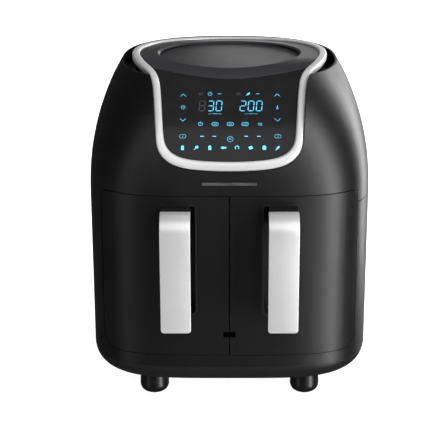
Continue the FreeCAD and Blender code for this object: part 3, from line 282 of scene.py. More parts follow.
def silicone(colour):
    """Moulded silicone: soft, slightly translucent grey with a dusty surface."""
    material = textured("moulded_silicone", colour, 0.6, 0.8, 0.02, 0.85, 1.1, 0.05)
    shader = next(n for n in material.node_tree.nodes if n.type == "BSDF_PRINCIPLED")
    shader.inputs["Subsurface Weight"].default_value = 0.1
    shader.inputs["Subsurface Scale"].default_value = 1.5 * MM
    return material


def steel_tube(colour):
    """Drawn heater tube: nickel steel with straw and blue heat tints along its length."""
    material = textured("heater_tube", colour, 0.35, 2.0, 0.01, 0.8, 1.1, 0.08, metallic=1.0)
    tree = material.node_tree
    shader = next(n for n in tree.nodes if n.type == "BSDF_PRINCIPLED")
    band = noise(tree, 22, 1.0).outputs["Fac"]
    ramp = add(tree, "ShaderNodeValToRGB", links={"Fac": band})
    ramp.color_ramp.elements[0].position = 0.35
    ramp.color_ramp.elements[0].color = (*hex_colour("#8F8A84"), 1)
    ramp.color_ramp.elements[1].position = 0.7
    ramp.color_ramp.elements[1].color = (*hex_colour("#6B6F7C"), 1)
    middle = ramp.color_ramp.elements.new(0.52)
    middle.color = (*hex_colour("#94805F"), 1)
    tree.links.new(ramp.outputs[0], shader.inputs["Base Color"])
    return material


def plain_metal(name, code, roughness, blotch_mm=18):
    """Pressed or plated sheet and screws: metal with rolling marks and uneven gloss."""
    return textured(name, hex_colour(code), roughness, 1.0, 0.008, 0.85, 1.08, 0.08,
                    metallic=1.0, blotch_mm=blotch_mm)


def lit_symbol(name, colour, strength):
    """Print lit from behind: an even glow whose tone drifts a little from place to place."""
    material, tree, shader = new_finish(name)
    cloud = noise(tree, 9, 1.0).outputs["Fac"]
    tree.links.new(tint(tree, cloud, colour, 0.9, 1.1), shader.inputs["Base Color"])
    tree.links.new(tint(tree, cloud, colour, 0.92, 1.08), shader.inputs["Emission Color"])
    shader.inputs["Emission Strength"].default_value = strength
    shader.inputs["Roughness"].default_value = 0.4
    return material


def backdrop_paper(glow):
    """White backdrop paper, lit evenly, with only a soft shade where the appliance stands."""
    material, tree, shader = new_finish("backdrop_paper")
    cloud = noise(tree, 400, 2.0).outputs["Fac"]
    white = hex_colour("#F4F4F4")
    tree.links.new(tint(tree, cloud, white, 0.995, 1.005), shader.inputs["Base Color"])
    tree.links.new(tint(tree, cloud, white, 0.995, 1.005), shader.inputs["Emission Color"])
    shader.inputs["Emission Strength"].default_value = glow
    shader.inputs["Roughness"].default_value = 1.0
    shader.inputs["Specular IOR Level"].default_value = 0.0
    return material


def all_finishes():
    """One material for each of the record's material slots."""
    colours = settings()[0]
    sheet = hex_colour("#B9BABC")
    return {
        "shell_black": satin_abs("satin_abs", colours.shell),
        "tray_black": satin_abs("satin_abs_tray", colours.tray),
        "foot_black": gloss_abs(hex_colour("#0C0C0D")),
        "pad_rubber": textured("foot_rubber", hex_colour("#151515"), 0.7, 1.0, 0.03),
        "trim_silver": plated_ring(colours.ring),
        "lid_grey": brushed_lid(colours.lid),
        "panel_gloss": piano_acrylic(colours.panel),
        "inner_black": textured_nylon(colours.inner),
        "handle_silver": blasted_aluminium(colours.strip),
        "cavity_steel": galvanised_sheet(sheet),
        "basket_coating": nonstick(colours.coating),
        "silicone_grey": silicone(hex_colour("#6E6F72")),
        "element_steel": steel_tube(hex_colour("#8A8680")),
        "fan_aluminium": plain_metal("pressed_aluminium", "#D5D6D8", 0.34),
        "motor_steel": plain_metal("zinc_plated_steel", "#A9ABAE", 0.4),
        "board_green": textured("solder_mask", hex_colour("#1D4A2A"), 0.3, 1.5, 0.02),
        "switch_black": textured("moulded_thermoset", hex_colour("#1B1B1C"), 0.45, 1.0, 0.02),
        "plunger_white": textured("natural_nylon", hex_colour("#E3E0D6"), 0.45, 1.0, 0.01),
        "sensor_brass": plain_metal("turned_brass", "#C9A45C", 0.3, 9),
        "screw_steel": plain_metal("screw_zinc", "#C2C4C7", 0.3, 6),
    }


FINISHES = {}


# ---------------------------------------------------------------- mesh helpers

def piece_from(name, mesh, body, slot, *replaced):
    """Put a finished mesh into the scene as a piece of a body, in place of CAD nodes."""
    made = bpy.data.objects.new(name, mesh)
    bpy.context.scene.collection.objects.link(made)
    if slot and not mesh.materials:
        mesh.materials.append(FINISHES[slot])
    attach(made, body)
    if replaced:
        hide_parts(*replaced)
    return made


def mesh_of(name, points, faces, smooth=True):
    """A mesh from points and faces, with its doubles merged and its faces turned outwards."""
    mesh = bpy.data.meshes.new(name)
    mesh.from_pydata([tuple(p) for p in points], [], faces)
    work = bmesh.new()
    work.from_mesh(mesh)
    bmesh.ops.remove_doubles(work, verts=work.verts, dist=1e-6)
    bmesh.ops.recalc_face_normals(work, faces=work.faces)
    work.to_mesh(mesh)
    work.free()
    if smooth:
        mesh.shade_smooth()
    return mesh


def merged_copy(node, dissolve=1.0):
    """A node's mesh with its loose triangles joined, and its flat stretches made whole faces."""
    mesh = frame["nodes"][node].data.copy()
    work = bmesh.new()
    work.from_mesh(mesh)
    bmesh.ops.remove_doubles(work, verts=work.verts, dist=2e-6)
    if dissolve:
        bmesh.ops.dissolve_limit(work, angle_limit=math.radians(dissolve), verts=work.verts,
                                 edges=work.edges)
    return mesh, work


def with_modifiers(mesh, *changes):
    """Apply modifiers, each a type with its settings, and return the plain mesh."""
    holder = bpy.data.objects.new("work", mesh)
    bpy.context.scene.collection.objects.link(holder)
    for kind, fields in changes:
        modifier = holder.modifiers.new(kind.lower(), kind)
        for field, value in fields.items():
            setattr(modifier, field, value)
    graph = bpy.context.evaluated_depsgraph_get()
    graph.update()
    result = bpy.data.meshes.new_from_object(holder.evaluated_get(graph))
    bpy.data.objects.remove(holder)
    return result


def softened(node, width_mm, segments=2, angle=32, dissolve=1.0):
    """A node's solid again, with every sharp edge rounded as a moulding's edges are."""
    mesh, work = merged_copy(node, dissolve)
    work.to_mesh(mesh)
    work.free()
    mesh.materials.clear()
    mesh.shade_smooth()
    mesh.set_sharp_from_angle(angle=math.radians(angle))
    result = with_modifiers(mesh, ("BEVEL", {
        "width": width_mm * MM, "segments": segments, "limit_method": "ANGLE",
        "angle_limit": math.radians(angle), "use_clamp_overlap": True,
        "miter_outer": "MITER_ARC"}),
        ("WEIGHTED_NORMAL", {"mode": "FACE_AREA", "weight": 80, "keep_sharp": True}))
    return piece_from("soft_" + node, result, BODY_OF[node], SLOT_OF[node], node)


def edge_loops(node, direction):
    """The closed rims between a node's top face and its walls, the longest first."""
    mesh, work = merged_copy(node, 0)
    rims = []
    for edge in work.edges:
        if len(edge.link_faces) != 2:
            continue
        tops = [face.normal.dot(direction) > 0.4 for face in edge.link_faces]
        walls = [abs(face.normal.dot(direction)) < 0.25 for face in edge.link_faces]
        if (tops[0] and walls[1]) or (tops[1] and walls[0]):
            rims.append(edge)
    left = set(rims)
    loops = []
    while left:
        edge = left.pop()
        start, spot = edge.verts
        loop = [start.co.copy(), spot.co.copy()]
        while True:
            follow = next((e for e in spot.link_edges if e in left), None)
            if follow is None:
                break
            left.remove(follow)
            spot = follow.other_vert(spot)
            loop.append(spot.co.copy())
        loops.append(loop)
    work.free()
    bpy.data.meshes.remove(mesh)
    return sorted(loops, key=run_length, reverse=True)


def run_length(points):
    return sum((b - a).length for a, b in zip(points, points[1:]))


def resampled(loop, count):
    """A closed rim as evenly spaced points, from the rearmost one round by the right."""
    if (loop[0] - loop[-1]).length < 1e-6:
        loop = loop[:-1]
    first = max(range(len(loop)), key=lambda i: loop[i].y - abs(loop[i].x) * 0.5)
    loop = loop[first:] + loop[:first]
    ahead = loop[len(loop) // 12]
    if ahead.x < 0:
        loop = [loop[0]] + loop[:0:-1]
    loop.append(loop[0])
    total = run_length(loop)
    points, walked, index = [], 0.0, 0
    for step in range(count):
        goal = total * step / count
        while walked + (loop[index + 1] - loop[index]).length < goal:
            walked += (loop[index + 1] - loop[index]).length
            index += 1
        gap = (loop[index + 1] - loop[index]).length or 1
        points.append(loop[index].lerp(loop[index + 1], (goal - walked) / gap))
    return points


def nearest_on(loop, spot):
    """The nearest point of a closed run of points."""
    best, found = 1e9, loop[0]
    for a, b in zip(loop, loop[1:] + loop[:1]):
        way = b - a
        share = min(max((spot - a).dot(way) / (way.length_squared or 1), 0), 1)
        point = a + way * share
        if (point - spot).length < best:
            best, found = (point - spot).length, point
    return found


def tube_faces(rows, columns, closed_rows):
    """Quads between rows of points that each close on themselves."""
    faces = []
    for row in range(rows if closed_rows else rows - 1):
        after = (row + 1) % rows
        for column in range(columns):
            beside = (column + 1) % columns
            faces.append((row * columns + column, row * columns + beside,
                          after * columns + beside, after * columns + column))
    if not closed_rows:
        faces.append(tuple(range(columns)))
        faces.append(tuple((rows - 1) * columns + c for c in range(columns - 1, -1, -1)))
    return faces


# ---------------------------------------------------------------- pieces

TILT = Vector((0, -math.sin(math.radians(40)), math.cos(math.radians(40))))
RING_STEPS = 300
RING_SKIRT = 4.5                # how far the band's sides go down below its rolled edges, mm
STRIP_THICKNESS = 2             # mm


def build_ring():
    """The silver band, with a gently domed face that rolls over into both of its edges."""
    sizes = settings()[1]
    outer, inner = (resampled(rim, RING_STEPS) for rim in edge_loops("trim_ring", TILT)[:2])
    shares = [0, 0.04, 0.1, 0.2, 0.34, 0.5, 0.66, 0.8, 0.9, 0.96, 1]
    points = []
    for index, spot in enumerate(outer):
        across = nearest_on(inner, spot) - spot
        along = outer[(index + 1) % RING_STEPS] - outer[index - 1]
        lift = across.cross(along).normalized()
        if lift.dot(TILT) < 0:
            lift = -lift
        for share in shares:
            roll = abs(2 * share - 1)
            drop = sizes.ring_edge * (0.28 * roll ** 2 + 0.72 * roll ** 9)
            points.append(spot + across * share - lift * drop)
        for share in (1, 0):
            points.append(spot + across * share - lift * (sizes.ring_edge + RING_SKIRT * MM))
    columns = len(shares) + 2
    mesh = mesh_of("trim_band", points, tube_faces(RING_STEPS, columns, True))
    mesh.set_sharp_from_angle(angle=math.radians(50))
    piece_from("trim_band", mesh, BODY_OF["trim_ring"], "trim_silver", "trim_ring")


def build_strip(side):
    """A bent metal strip with rounded lower corners and finely broken edges."""
    sizes = settings()[1]
    low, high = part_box(side + "_handle_strip")
    thick = STRIP_THICKNESS * MM
    bend, edge = sizes.strip_bend, sizes.strip_edge
    middle = (low.x + high.x) / 2
    half = (high.x - low.x) / 2
    straight = high.z - bend - low.z
    arc = bend * math.pi / 2
    length = straight + arc + (high.y - low.y - bend)
    corner = sizes.strip_corner
    steps = [corner * (1 - math.cos(math.radians(a))) for a in range(0, 91, 15)]
    steps += [corner + (straight - corner) * k / 8 for k in range(1, 9)]
    steps += [straight + arc * k / 16 for k in range(1, 17)]
    steps += [length]
    points = []
    for travel in steps:
        inset = 0.0
        if travel < corner:
            inset = corner - math.sqrt(max(corner ** 2 - (corner - travel) ** 2, 0))
        spot, out = strip_place(travel, low, high, bend, straight, arc)
        for across, depth in edge_ring(half - inset, thick, min(edge, thick * 0.45)):
            points.append(Vector((middle + across, spot.y, spot.z)) + out * -depth)
    columns = len(edge_ring(half, thick, edge))
    mesh = mesh_of(side + "_strip", points, tube_faces(len(steps), columns, False))
    mesh.set_sharp_from_angle(angle=math.radians(50))
    node = side + "_handle_strip"
    piece_from(side + "_strip", mesh, BODY_OF[node], "handle_silver", node)


def strip_place(travel, low, high, bend, straight, arc):
    """Where a length along the strip lies on its outer face, and which way that face looks."""
    if travel <= straight:
        return Vector((0, low.y, low.z + travel)), Vector((0, -1, 0))
    if travel <= straight + arc:
        angle = (travel - straight) / bend
        out = Vector((0, -math.cos(angle), math.sin(angle)))
        return Vector((0, low.y + bend, high.z - bend)) + out * bend, out
    return Vector((0, low.y + bend + travel - straight - arc, high.z)), Vector((0, 0, 1))


def edge_ring(half, thick, edge):
    """The section of a flat bar: across and depth, with its four edges rounded."""
    ring = []
    for centre_x, centre_d, start in ((half - edge, edge, -90), (half - edge, thick - edge, 0),
                                      (-half + edge, thick - edge, 90), (-half + edge, edge, 180)):
        for step in range(0, 91, 30):
            angle = math.radians(start + step)
            ring.append((centre_x + edge * math.cos(angle), centre_d + edge * math.sin(angle)))
    return ring


# ---------------------------------------------------------------- symbols of the panel

# Across and along the panel in mm, from its middle and from a line near its foot.
PANEL_MIDDLE = 0.8
PANEL_EDGE = 50.4
PANEL_START = 10 * MM
SEGMENTS = {"0": "abcdef", "2": "abged", "3": "abgcd", "8": "abcdefg"}

def panel_surface():
    """A search tree of the touch panel's mesh, for laying symbols on it."""
    mesh = frame["nodes"]["touch_panel"].data
    return BVHTree.FromPolygons([v.co for v in mesh.vertices],
                                [tuple(p.vertices) for p in mesh.polygons])


def arc_points(x, z, radius, start, stop, steps=16, squash=1.0):
    return [(x + radius * math.cos(math.radians(start + (stop - start) * k / steps)),
             z + radius * squash * math.sin(math.radians(start + (stop - start) * k / steps)))
            for k in range(steps + 1)]


def stroke(run, width, closed=False):
    """A line of even width along a run of points, as quads with square ends."""
    count = len(run)
    left, right = [], []
    for index, (x, z) in enumerate(run):
        before = run[index - 1] if (index or closed) else run[index]
        after = run[(index + 1) % count] if (index < count - 1 or closed) else run[index]
        first = Vector((x - before[0], z - before[1]))
        second = Vector((after[0] - x, after[1] - z))
        first = first.normalized() if first.length else second.normalized()
        second = second.normalized() if second.length else first
        way = (first + second)
        way = way.normalized() if way.length > 1e-6 else first
        side = Vector((-way.y, way.x))
        reach = width / 2 / max(way.dot(second), 0.5)
        left.append((x + side.x * reach, z + side.y * reach))
        right.append((x - side.x * reach, z - side.y * reach))
    polygons = []
    for index in range(count if closed else count - 1):
        after = (index + 1) % count
        polygons.append([left[index], left[after], right[after], right[index]])
    return polygons


def fan_fill(run):
    """A filled outline as a fan of triangles about its middle."""
    middle = (sum(x for x, z in run) / len(run), sum(z for x, z in run) / len(run))
    return [[middle, run[i], run[(i + 1) % len(run)]] for i in range(len(run))]


def digit(shape, x, z, width, height, line):
    """A seven-segment digit that leans over slightly, its lower left corner at x, z."""
    bars = {"a": ((0, 2), (1, 2)), "b": ((1, 2), (1, 1)), "c": ((1, 1), (1, 0)),
            "d": ((0, 0), (1, 0)), "e": ((0, 1), (0, 0)), "f": ((0, 2), (0, 1)),
            "g": ((0, 1), (1, 1))}
    lean, gap = 0.04, 0.12
    polygons = []
    for bar in SEGMENTS[shape]:
        start, stop = (Vector((x + a * width + b * height * lean, z + b * height / 2))
                       for a, b in bars[bar])
        polygons += stroke([start.lerp(stop, gap), stop.lerp(start, gap)], line)
    return polygons


def chevron(x, z, up, line):
    side = 1 if up else -1
    run = [(x - 3, z - 1.6 * side), (x, z + 1.6 * side), (x + 3, z - 1.6 * side)]
    return stroke(run, line)


def ring_of(x, z, radius, line, squash=1.0):
    return stroke(arc_points(x, z, radius, 0, 337.5, 15, squash), line, True)


def oval(x, z, line):
    """The outline of a pill-shaped key."""
    run = [(px + 1.5, pz) for px, pz in arc_points(x, z, 1.9, -90, 90, 8)]
    run += [(px - 1.5, pz) for px, pz in arc_points(x, z, 1.9, 90, 270, 8)]
    return stroke(run, line, True)


def clock(x, z, line):
    return ring_of(x, z, 2.1, line) + stroke([(x, z + 1.3), (x, z), (x + 1, z)], line)


def thermometer(x, z, line):
    return stroke([(x, z + 2.2), (x, z - 0.6)], line * 1.5) + ring_of(x, z - 1.4, 0.9, line * 1.3)


def power(x, z, line):
    return (stroke(arc_points(x, z, 2.1, 120, 420, 14), line)
            + stroke([(x, z + 2.6), (x, z + 0.2)], line))


def waves(x, z, line):
    runs = [[(x + shift + 0.5 * math.sin(k * 1.2), z - 1.8 + k * 0.5) for k in range(8)]
            for shift in (-1.6, 0, 1.6)]
    return [quad for run in runs for quad in stroke(run, line)]


def fish(x, z, _line):
    body = arc_points(x - 0.6, z, 2.1, 0, 337.5, 15, 0.6)
    return fan_fill(body) + [[(x + 1, z), (x + 2.9, z + 1.3), (x + 2.9, z - 1.3)]]


def leaf(x, z, line):
    run = (arc_points(x - 1.8, z + 1.8, 3.6, -90, 0, 8)
           + arc_points(x + 1.8, z - 1.8, 3.6, 90, 180, 8))
    return fan_fill(run) + stroke([(x - 2.6, z - 2.6), (x - 1.4, z - 1.4)], line)


def drumstick(x, z, line):
    return (fan_fill(arc_points(x + 0.7, z + 0.7, 1.7, 0, 337.5, 15, 0.85))
            + stroke([(x - 0.4, z - 0.4), (x - 2.3, z - 2)], line * 1.4))


def muffin(x, z, _line):
    run = [(x - 1.6, z - 2), (x - 2.1, z + 0.2)] + arc_points(x, z + 0.3, 2.1, 180, 0, 8)
    return fan_fill(run + [(x + 1.6, z - 2)])


def steak(x, z, _line):
    run = arc_points(x, z, 2.3, 0, 337.5, 15, 0.7)
    return fan_fill([(px, pz + 0.5 * math.sin(2 * (px - x))) for px, pz in run])


def prawn(x, z, line):
    return stroke(arc_points(x, z, 1.9, -40, 230, 12), line * 1.5)


def dash(x, z, line):
    return stroke([(x - 1.9, z), (x + 1.9, z)], line * 1.5)


def zigzag(x, z, line):
    return stroke([(x - 1.3, z - 0.9), (x - 0.6, z + 0.9), (x, z), (x + 0.6, z + 0.9),
                   (x + 1.3, z - 0.9)], line)


def jar(x, z, _line):
    run = [(x - 1.5, z - 2.3), (x - 1.5, z + 1), (x - 0.9, z + 2.3), (x + 0.9, z + 2.3),
           (x + 1.5, z + 1), (x + 1.5, z - 2.3)]
    return fan_fill(run)


def bracket_mark(x, z, line):
    return (stroke([(x - 6.5, z - 0.8), (x - 6.5, z), (x - 2.2, z)], line * 0.6)
            + stroke([(x + 2.2, z), (x + 6.5, z), (x + 6.5, z - 0.8)], line * 0.6)
            + dash(x, z, line * 0.8))


def symbol_sheets(line):
    """The bright, the half-lit and the unlit symbols, laid out across and along the panel."""
    lit, half, dim = [], [], []
    thin = line * 0.8
    for side in (-1, 1):
        x = PANEL_MIDDLE + side * PANEL_EDGE
        half += chevron(x, 68.6, True, line) + chevron(x, 37.7, False, line)
        half += oval(x, 18.9, thin) + stroke([(x, 18), (x, 19.8)], thin)
    half += clock(PANEL_MIDDLE - PANEL_EDGE, 53, thin)
    half += thermometer(PANEL_MIDDLE + PANEL_EDGE, 53, thin)
    for x, shape in ((-23.3, "3"), (-14.6, "0"), (11, "2"), (19.7, "0"), (28.4, "0")):
        lit += digit(shape, x, 48.6, 5.8, 12.4, line * 1.6)
    dim += digit("8", -32.6, 48.6, 5.8, 12.4, line * 1.6)
    for x, shape in ((-20.9, clock), (-10.7, dash), (20.3, leaf), (30.5, dash)):
        half += shape(x, 70.3, thin)
    dim += waves(-30.8, 70.3, thin) + waves(9.6, 70.3, thin)
    half += bracket_mark(-15.5, 45, thin) + bracket_mark(23, 45, thin)
    lit += power(-30.9, 33, thin)
    for x in (-15.2, PANEL_MIDDLE, 16.5):
        half += oval(x, 32.7, line) + dash(x, 32.7, thin)
    half += waves(32.5, 32.7, thin)
    for x in (-29.1, -16.1, 17.6, 31.1):
        lit += dash(x, 18.9, line)
    half += ring_of(PANEL_MIDDLE, 15.8, 3, thin) + zigzag(PANEL_MIDDLE, 15.8, thin)
    foods = (jar, drumstick, jar, fish, prawn, steak, muffin, leaf)
    for index, shape in enumerate(foods):
        lit += shape(PANEL_MIDDLE + PANEL_EDGE * (2 * index / 7 - 1), 6.6, line)
    return {"lit": lit, "half": half, "dim": dim}


def lay_on_panel(name, polygons, slot, lift):
    """Project flat symbols, in millimetres across and along, onto the panel as thin print."""
    tree = panel_surface()
    down = -TILT
    along = Vector((0, TILT.z, -TILT.y))
    low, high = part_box("touch_panel")
    start = Vector(((low.x + high.x) / 2, low.y, low.z)) + along * PANEL_START + TILT * 0.2
    points, faces = [], []
    for polygon in polygons:
        first = len(points)
        for x, z in polygon:
            source = start + Vector((x * MM, 0, 0)) + along * (z * MM)
            hit = tree.ray_cast(source, down)[0]
            if hit is None:
                raise RuntimeError(name + " reaches past the panel")
            points.append(hit + TILT * lift)
        faces.append(tuple(range(first, len(points))))
    mesh = bpy.data.meshes.new(name)
    mesh.from_pydata([tuple(p) for p in points], [], faces)
    for polygon in mesh.polygons:
        if polygon.normal.dot(TILT) < 0:
            polygon.flip()
    mesh.materials.append(FINISHES[slot + "_print"])
    made = bpy.data.objects.new(name, mesh)
    bpy.context.scene.collection.objects.link(made)
    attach(made, "housing")


# ---------------------------------------------------------------- stage

def aim(thing, spot):
    thing.rotation_euler = (Vector(spot) - thing.location).to_track_quat("-Z", "Y").to_euler()


# Name, place, width and height in metres, and power in watts. The top box only fills in.
LAMP_TARGET = (0, 0, 0.2)
LAMPS = (
    ("top_box", (0.2, 0.2, 2.4), 2.4, 2.0, 40),
    ("right_strip", (1.6, -1.35, 0.45), 0.75, 3.4, 62),
    ("right_fill", (1.25, -2.4, 0.2), 1.0, 3.0, 9),
    ("left_strip", (-1.7, -1.5, 0.4), 0.7, 3.2, 5),
    ("front_box", (0.0, -1.5, 1.5), 2.4, 1.6, 10),
    ("right_rim", (1.7, 1.5, 0.5), 0.5, 2.4, 30),
    ("back_box", (1.1, 2.6, 0.5), 2.6, 0.7, 11),
)


def soft_box(name, spot, target, width, height, power):
    """An even rectangular light, out of the camera's sight, turned towards a target."""
    light = bpy.data.lights.new(name, "AREA")
    light.shape = "RECTANGLE"
    light.size, light.size_y = width, height
    light.energy = power
    lamp = bpy.data.objects.new(name, light)
    bpy.context.scene.collection.objects.link(lamp)
    lamp.visible_camera = False
    lamp.location = spot
    aim(lamp, target)
    return lamp


def build_stage():
    """White floor, soft boxes, the dim room that dark surfaces mirror, and the camera."""
    scene = bpy.context.scene
    studio = settings()[2]
    scene.view_settings.view_transform = "Standard"
    scene.view_settings.look = "None"

    floor_mesh = mesh_of("studio_floor", [(x, y, 0) for y in (-9, 14) for x in (-11, 11)],
                         [(0, 1, 3, 2)], False)
    floor = bpy.data.objects.new("studio_floor", floor_mesh)
    scene.collection.objects.link(floor)
    floor_mesh.materials.append(backdrop_paper(studio.backdrop))
    floor.visible_glossy = False
    floor.visible_shadow = False

    world = bpy.data.worlds.new("studio_room")
    world.use_nodes = True
    world.node_tree.nodes["Background"].inputs["Color"].default_value = (*hex_colour("#E8E8E8"), 1)
    world.node_tree.nodes["Background"].inputs["Strength"].default_value = 0.05
    scene.world = world

    for name, spot, width, height, power in LAMPS:
        lamp = soft_box(name, spot, LAMP_TARGET, width, height, power)
        lamp.visible_glossy = name != "top_box"

    lens = bpy.data.cameras.new("camera")
    lens.lens = studio.lens
    lens.sensor_width = 36
    lens.shift_x = -0.0134
    camera = bpy.data.objects.new("camera", lens)
    scene.collection.objects.link(camera)
    camera.location = (0, 0.015 - studio.camera_distance, studio.camera_height)
    camera.rotation_euler = (math.pi / 2 - studio.camera_pitch, 0, 0)
    scene.camera = camera


# ---------------------------------------------------------------- what repeats

def round_rims(node, facing, spans):
    """The middles of a node's rims that look one way and span a size in mm within limits."""
    smallest, largest = (span * MM for span in spans)
    middles = []
    for loop in edge_loops(node, Vector(facing)):
        low = Vector([min(spot[axis] for spot in loop) for axis in range(3)])
        high = Vector([max(spot[axis] for spot in loop) for axis in range(3)])
        if smallest <= max(high - low) <= largest:
            middles.append((low + high) / 2)
    return middles


def new_tree(name, inputs):
    """A Geometry Nodes tree with named inputs; returns it and the sockets of its input node."""
    tree = bpy.data.node_groups.new(name, "GeometryNodeTree")
    for label, kind in (("Geometry", "Geometry"), *inputs, ("Material", "Material")):
        tree.interface.new_socket(name=label, in_out="INPUT", socket_type="NodeSocket" + kind)
    tree.interface.new_socket(name="Geometry", in_out="OUTPUT",
                              socket_type="NodeSocketGeometry")
    return tree, tree.nodes.new("NodeGroupInput").outputs


def end_tree(tree, given, source):
    """Turn the copies into plain geometry, give it its material and hand it out."""
    real = add(tree, "GeometryNodeRealizeInstances", links={0: source})
    painted = add(tree, "GeometryNodeSetMaterial",
                  links={"Geometry": real.outputs[0], "Material": given["Material"]})
    add(tree, "NodeGroupOutput", links={0: painted.outputs[0]})
    return tree


def parted(tree, source):
    """Part the loose points, where copies go, from the solid that carries them."""
    faces = add(tree, "GeometryNodeInputMeshVertexNeighbors").outputs["Face Count"]
    loose = add(tree, "FunctionNodeCompare", links={2: faces}, data_type="INT",
                operation="EQUAL")
    split = add(tree, "GeometryNodeSeparateGeometry",
                links={"Geometry": source, "Selection": loose.outputs[0]})
    return split.outputs["Selection"], split.outputs["Inverted"]


def joined_with(tree, solid, points, instance, links=None):
    """The solid together with one copy of the instance on every point."""
    copies = add(tree, "GeometryNodeInstanceOnPoints",
                 links={"Points": points, "Instance": instance, **(links or {})})
    both = add(tree, "GeometryNodeJoinGeometry", links={0: solid})
    tree.links.new(copies.outputs[0], both.inputs[0])
    return both.outputs[0]


def rim_tree():
    """A rolled rim at each loose point of a pressed sheet."""
    tree, given = new_tree("rolled_rims", (("Rim radius", "Float"), ("Wire radius", "Float")))
    points, solid = parted(tree, given["Geometry"])
    path = add(tree, "GeometryNodeCurvePrimitiveCircle", {"Resolution": 20},
               {"Radius": given["Rim radius"]})
    section = add(tree, "GeometryNodeCurvePrimitiveCircle", {"Resolution": 6},
                  {"Radius": given["Wire radius"]})
    rim = add(tree, "GeometryNodeCurveToMesh",
              links={"Curve": path.outputs[0], "Profile Curve": section.outputs[0]})
    return end_tree(tree, given, joined_with(tree, solid, points, rim.outputs[0]))


def louvre_tree():
    """A slanted slat in every slot of a grille."""
    tree, given = new_tree("slanted_slats", (("Slat", "Vector"), ("Turn", "Rotation")))
    points, solid = parted(tree, given["Geometry"])
    slat = add(tree, "GeometryNodeMeshCube", links={"Size": given["Slat"]})
    return end_tree(tree, given, joined_with(tree, solid, points, slat.outputs["Mesh"],
                                             {"Rotation": given["Turn"]}))


def recess_tree():
    """A cross recess cut at each loose point, which lies on a screw's head."""
    tree, given = new_tree("cross_recesses", (("Flat blade", "Vector"),
                                              ("Upright blade", "Vector")))
    points, solid = parted(tree, given["Geometry"])
    bored = solid
    for blade in ("Flat blade", "Upright blade"):
        cutter = add(tree, "GeometryNodeMeshCube", links={"Size": given[blade]})
        copies = add(tree, "GeometryNodeInstanceOnPoints",
                     links={"Points": points, "Instance": cutter.outputs["Mesh"]})
        real = add(tree, "GeometryNodeRealizeInstances", links={0: copies.outputs[0]})
        bored = add(tree, "GeometryNodeMeshBoolean", links={"Mesh 1": bored},
                    operation="DIFFERENCE")
        tree.links.new(real.outputs[0], bored.inputs["Mesh 2"])
        bored = bored.outputs["Mesh"]
    return end_tree(tree, given, bored)


def repeated(node, middles, tree, values):
    """A node's solid again, with a tree's copies at the points given."""
    mesh, work = merged_copy(node)
    for spot in middles:
        work.verts.new(spot)
    work.to_mesh(mesh)
    work.free()
    mesh.materials.clear()
    holder = bpy.data.objects.new("work", mesh)
    bpy.context.scene.collection.objects.link(holder)
    modifier = holder.modifiers.new("copies", "NODES")
    modifier.node_group = tree
    values = {**values, "Material": FINISHES[SLOT_OF[node]]}
    for socket in tree.interface.items_tree:
        if socket.in_out == "INPUT" and socket.name in values:
            modifier[socket.identifier] = values[socket.name]
    graph = bpy.context.evaluated_depsgraph_get()
    graph.update()
    result = bpy.data.meshes.new_from_object(holder.evaluated_get(graph))
    holder.modifiers.remove(modifier)
    bpy.data.objects.remove(holder)
    result.shade_smooth()
    result.set_sharp_from_angle(angle=math.radians(35))
    return piece_from("made_" + node, result, BODY_OF[node], SLOT_OF[node], node)


# ---------------------------------------------------------------- operators

def paint_nodes():
    """Give every CAD node the finish of its material slot."""
    for name, thing in frame["nodes"].items():
        finish = FINISHES[SLOT_OF[name]]
        for holder in thing.material_slots:
            holder.material = finish
        if not thing.material_slots:
            thing.data.materials.append(finish)


class FRYER_OT_stage(bpy.types.Operator):
    """Build the floor, the lights and the camera"""
    bl_idname = "fryer.stage"
    bl_label = "Studio"

    def execute(self, context):
        build_stage()
        return {"FINISHED"}


class FRYER_OT_finishes(bpy.types.Operator):
    """Make every finish and paint the housing's pieces with them"""
    bl_idname = "fryer.finishes"
    bl_label = "Finishes"

    def execute(self, context):
        FINISHES.update(all_finishes())
        colours = settings()[0]
        FINISHES["lit_print"] = lit_symbol("lit_print", colours.glow, 0.8)
        FINISHES["half_print"] = lit_symbol("half_print", colours.glow, 0.3)
        FINISHES["dim_print"] = lit_symbol("dim_print", colours.ghost, 0.0)
        paint_nodes()
        badge = plain_metal("brushed_badge", "#9B9B9D", 0.42)
        frame["nodes"]["badge_bar"].material_slots[0].material = badge
        return {"FINISHED"}


class FRYER_OT_ring(bpy.types.Operator):
    """Build the domed silver band round the lid and the panel"""
    bl_idname = "fryer.ring"
    bl_label = "Trim band"

    def execute(self, context):
        build_ring()
        return {"FINISHED"}


class FRYER_OT_strips(bpy.types.Operator):
    """Build the bent metal strips of both handles"""
    bl_idname = "fryer.strips"
    bl_label = "Handle strips"

    def execute(self, context):
        for side in SIDES:
            build_strip(side)
        return {"FINISHED"}


class FRYER_OT_symbols(bpy.types.Operator):
    """Lay the lit and the unlit symbols on the touch panel"""
    bl_idname = "fryer.symbols"
    bl_label = "Panel symbols"

    def execute(self, context):
        sizes = settings()[1]
        for level, polygons in symbol_sheets(sizes.symbol_line / MM).items():
            lay_on_panel(level + "_symbols", polygons, level, sizes.symbol_lift)
        return {"FINISHED"}


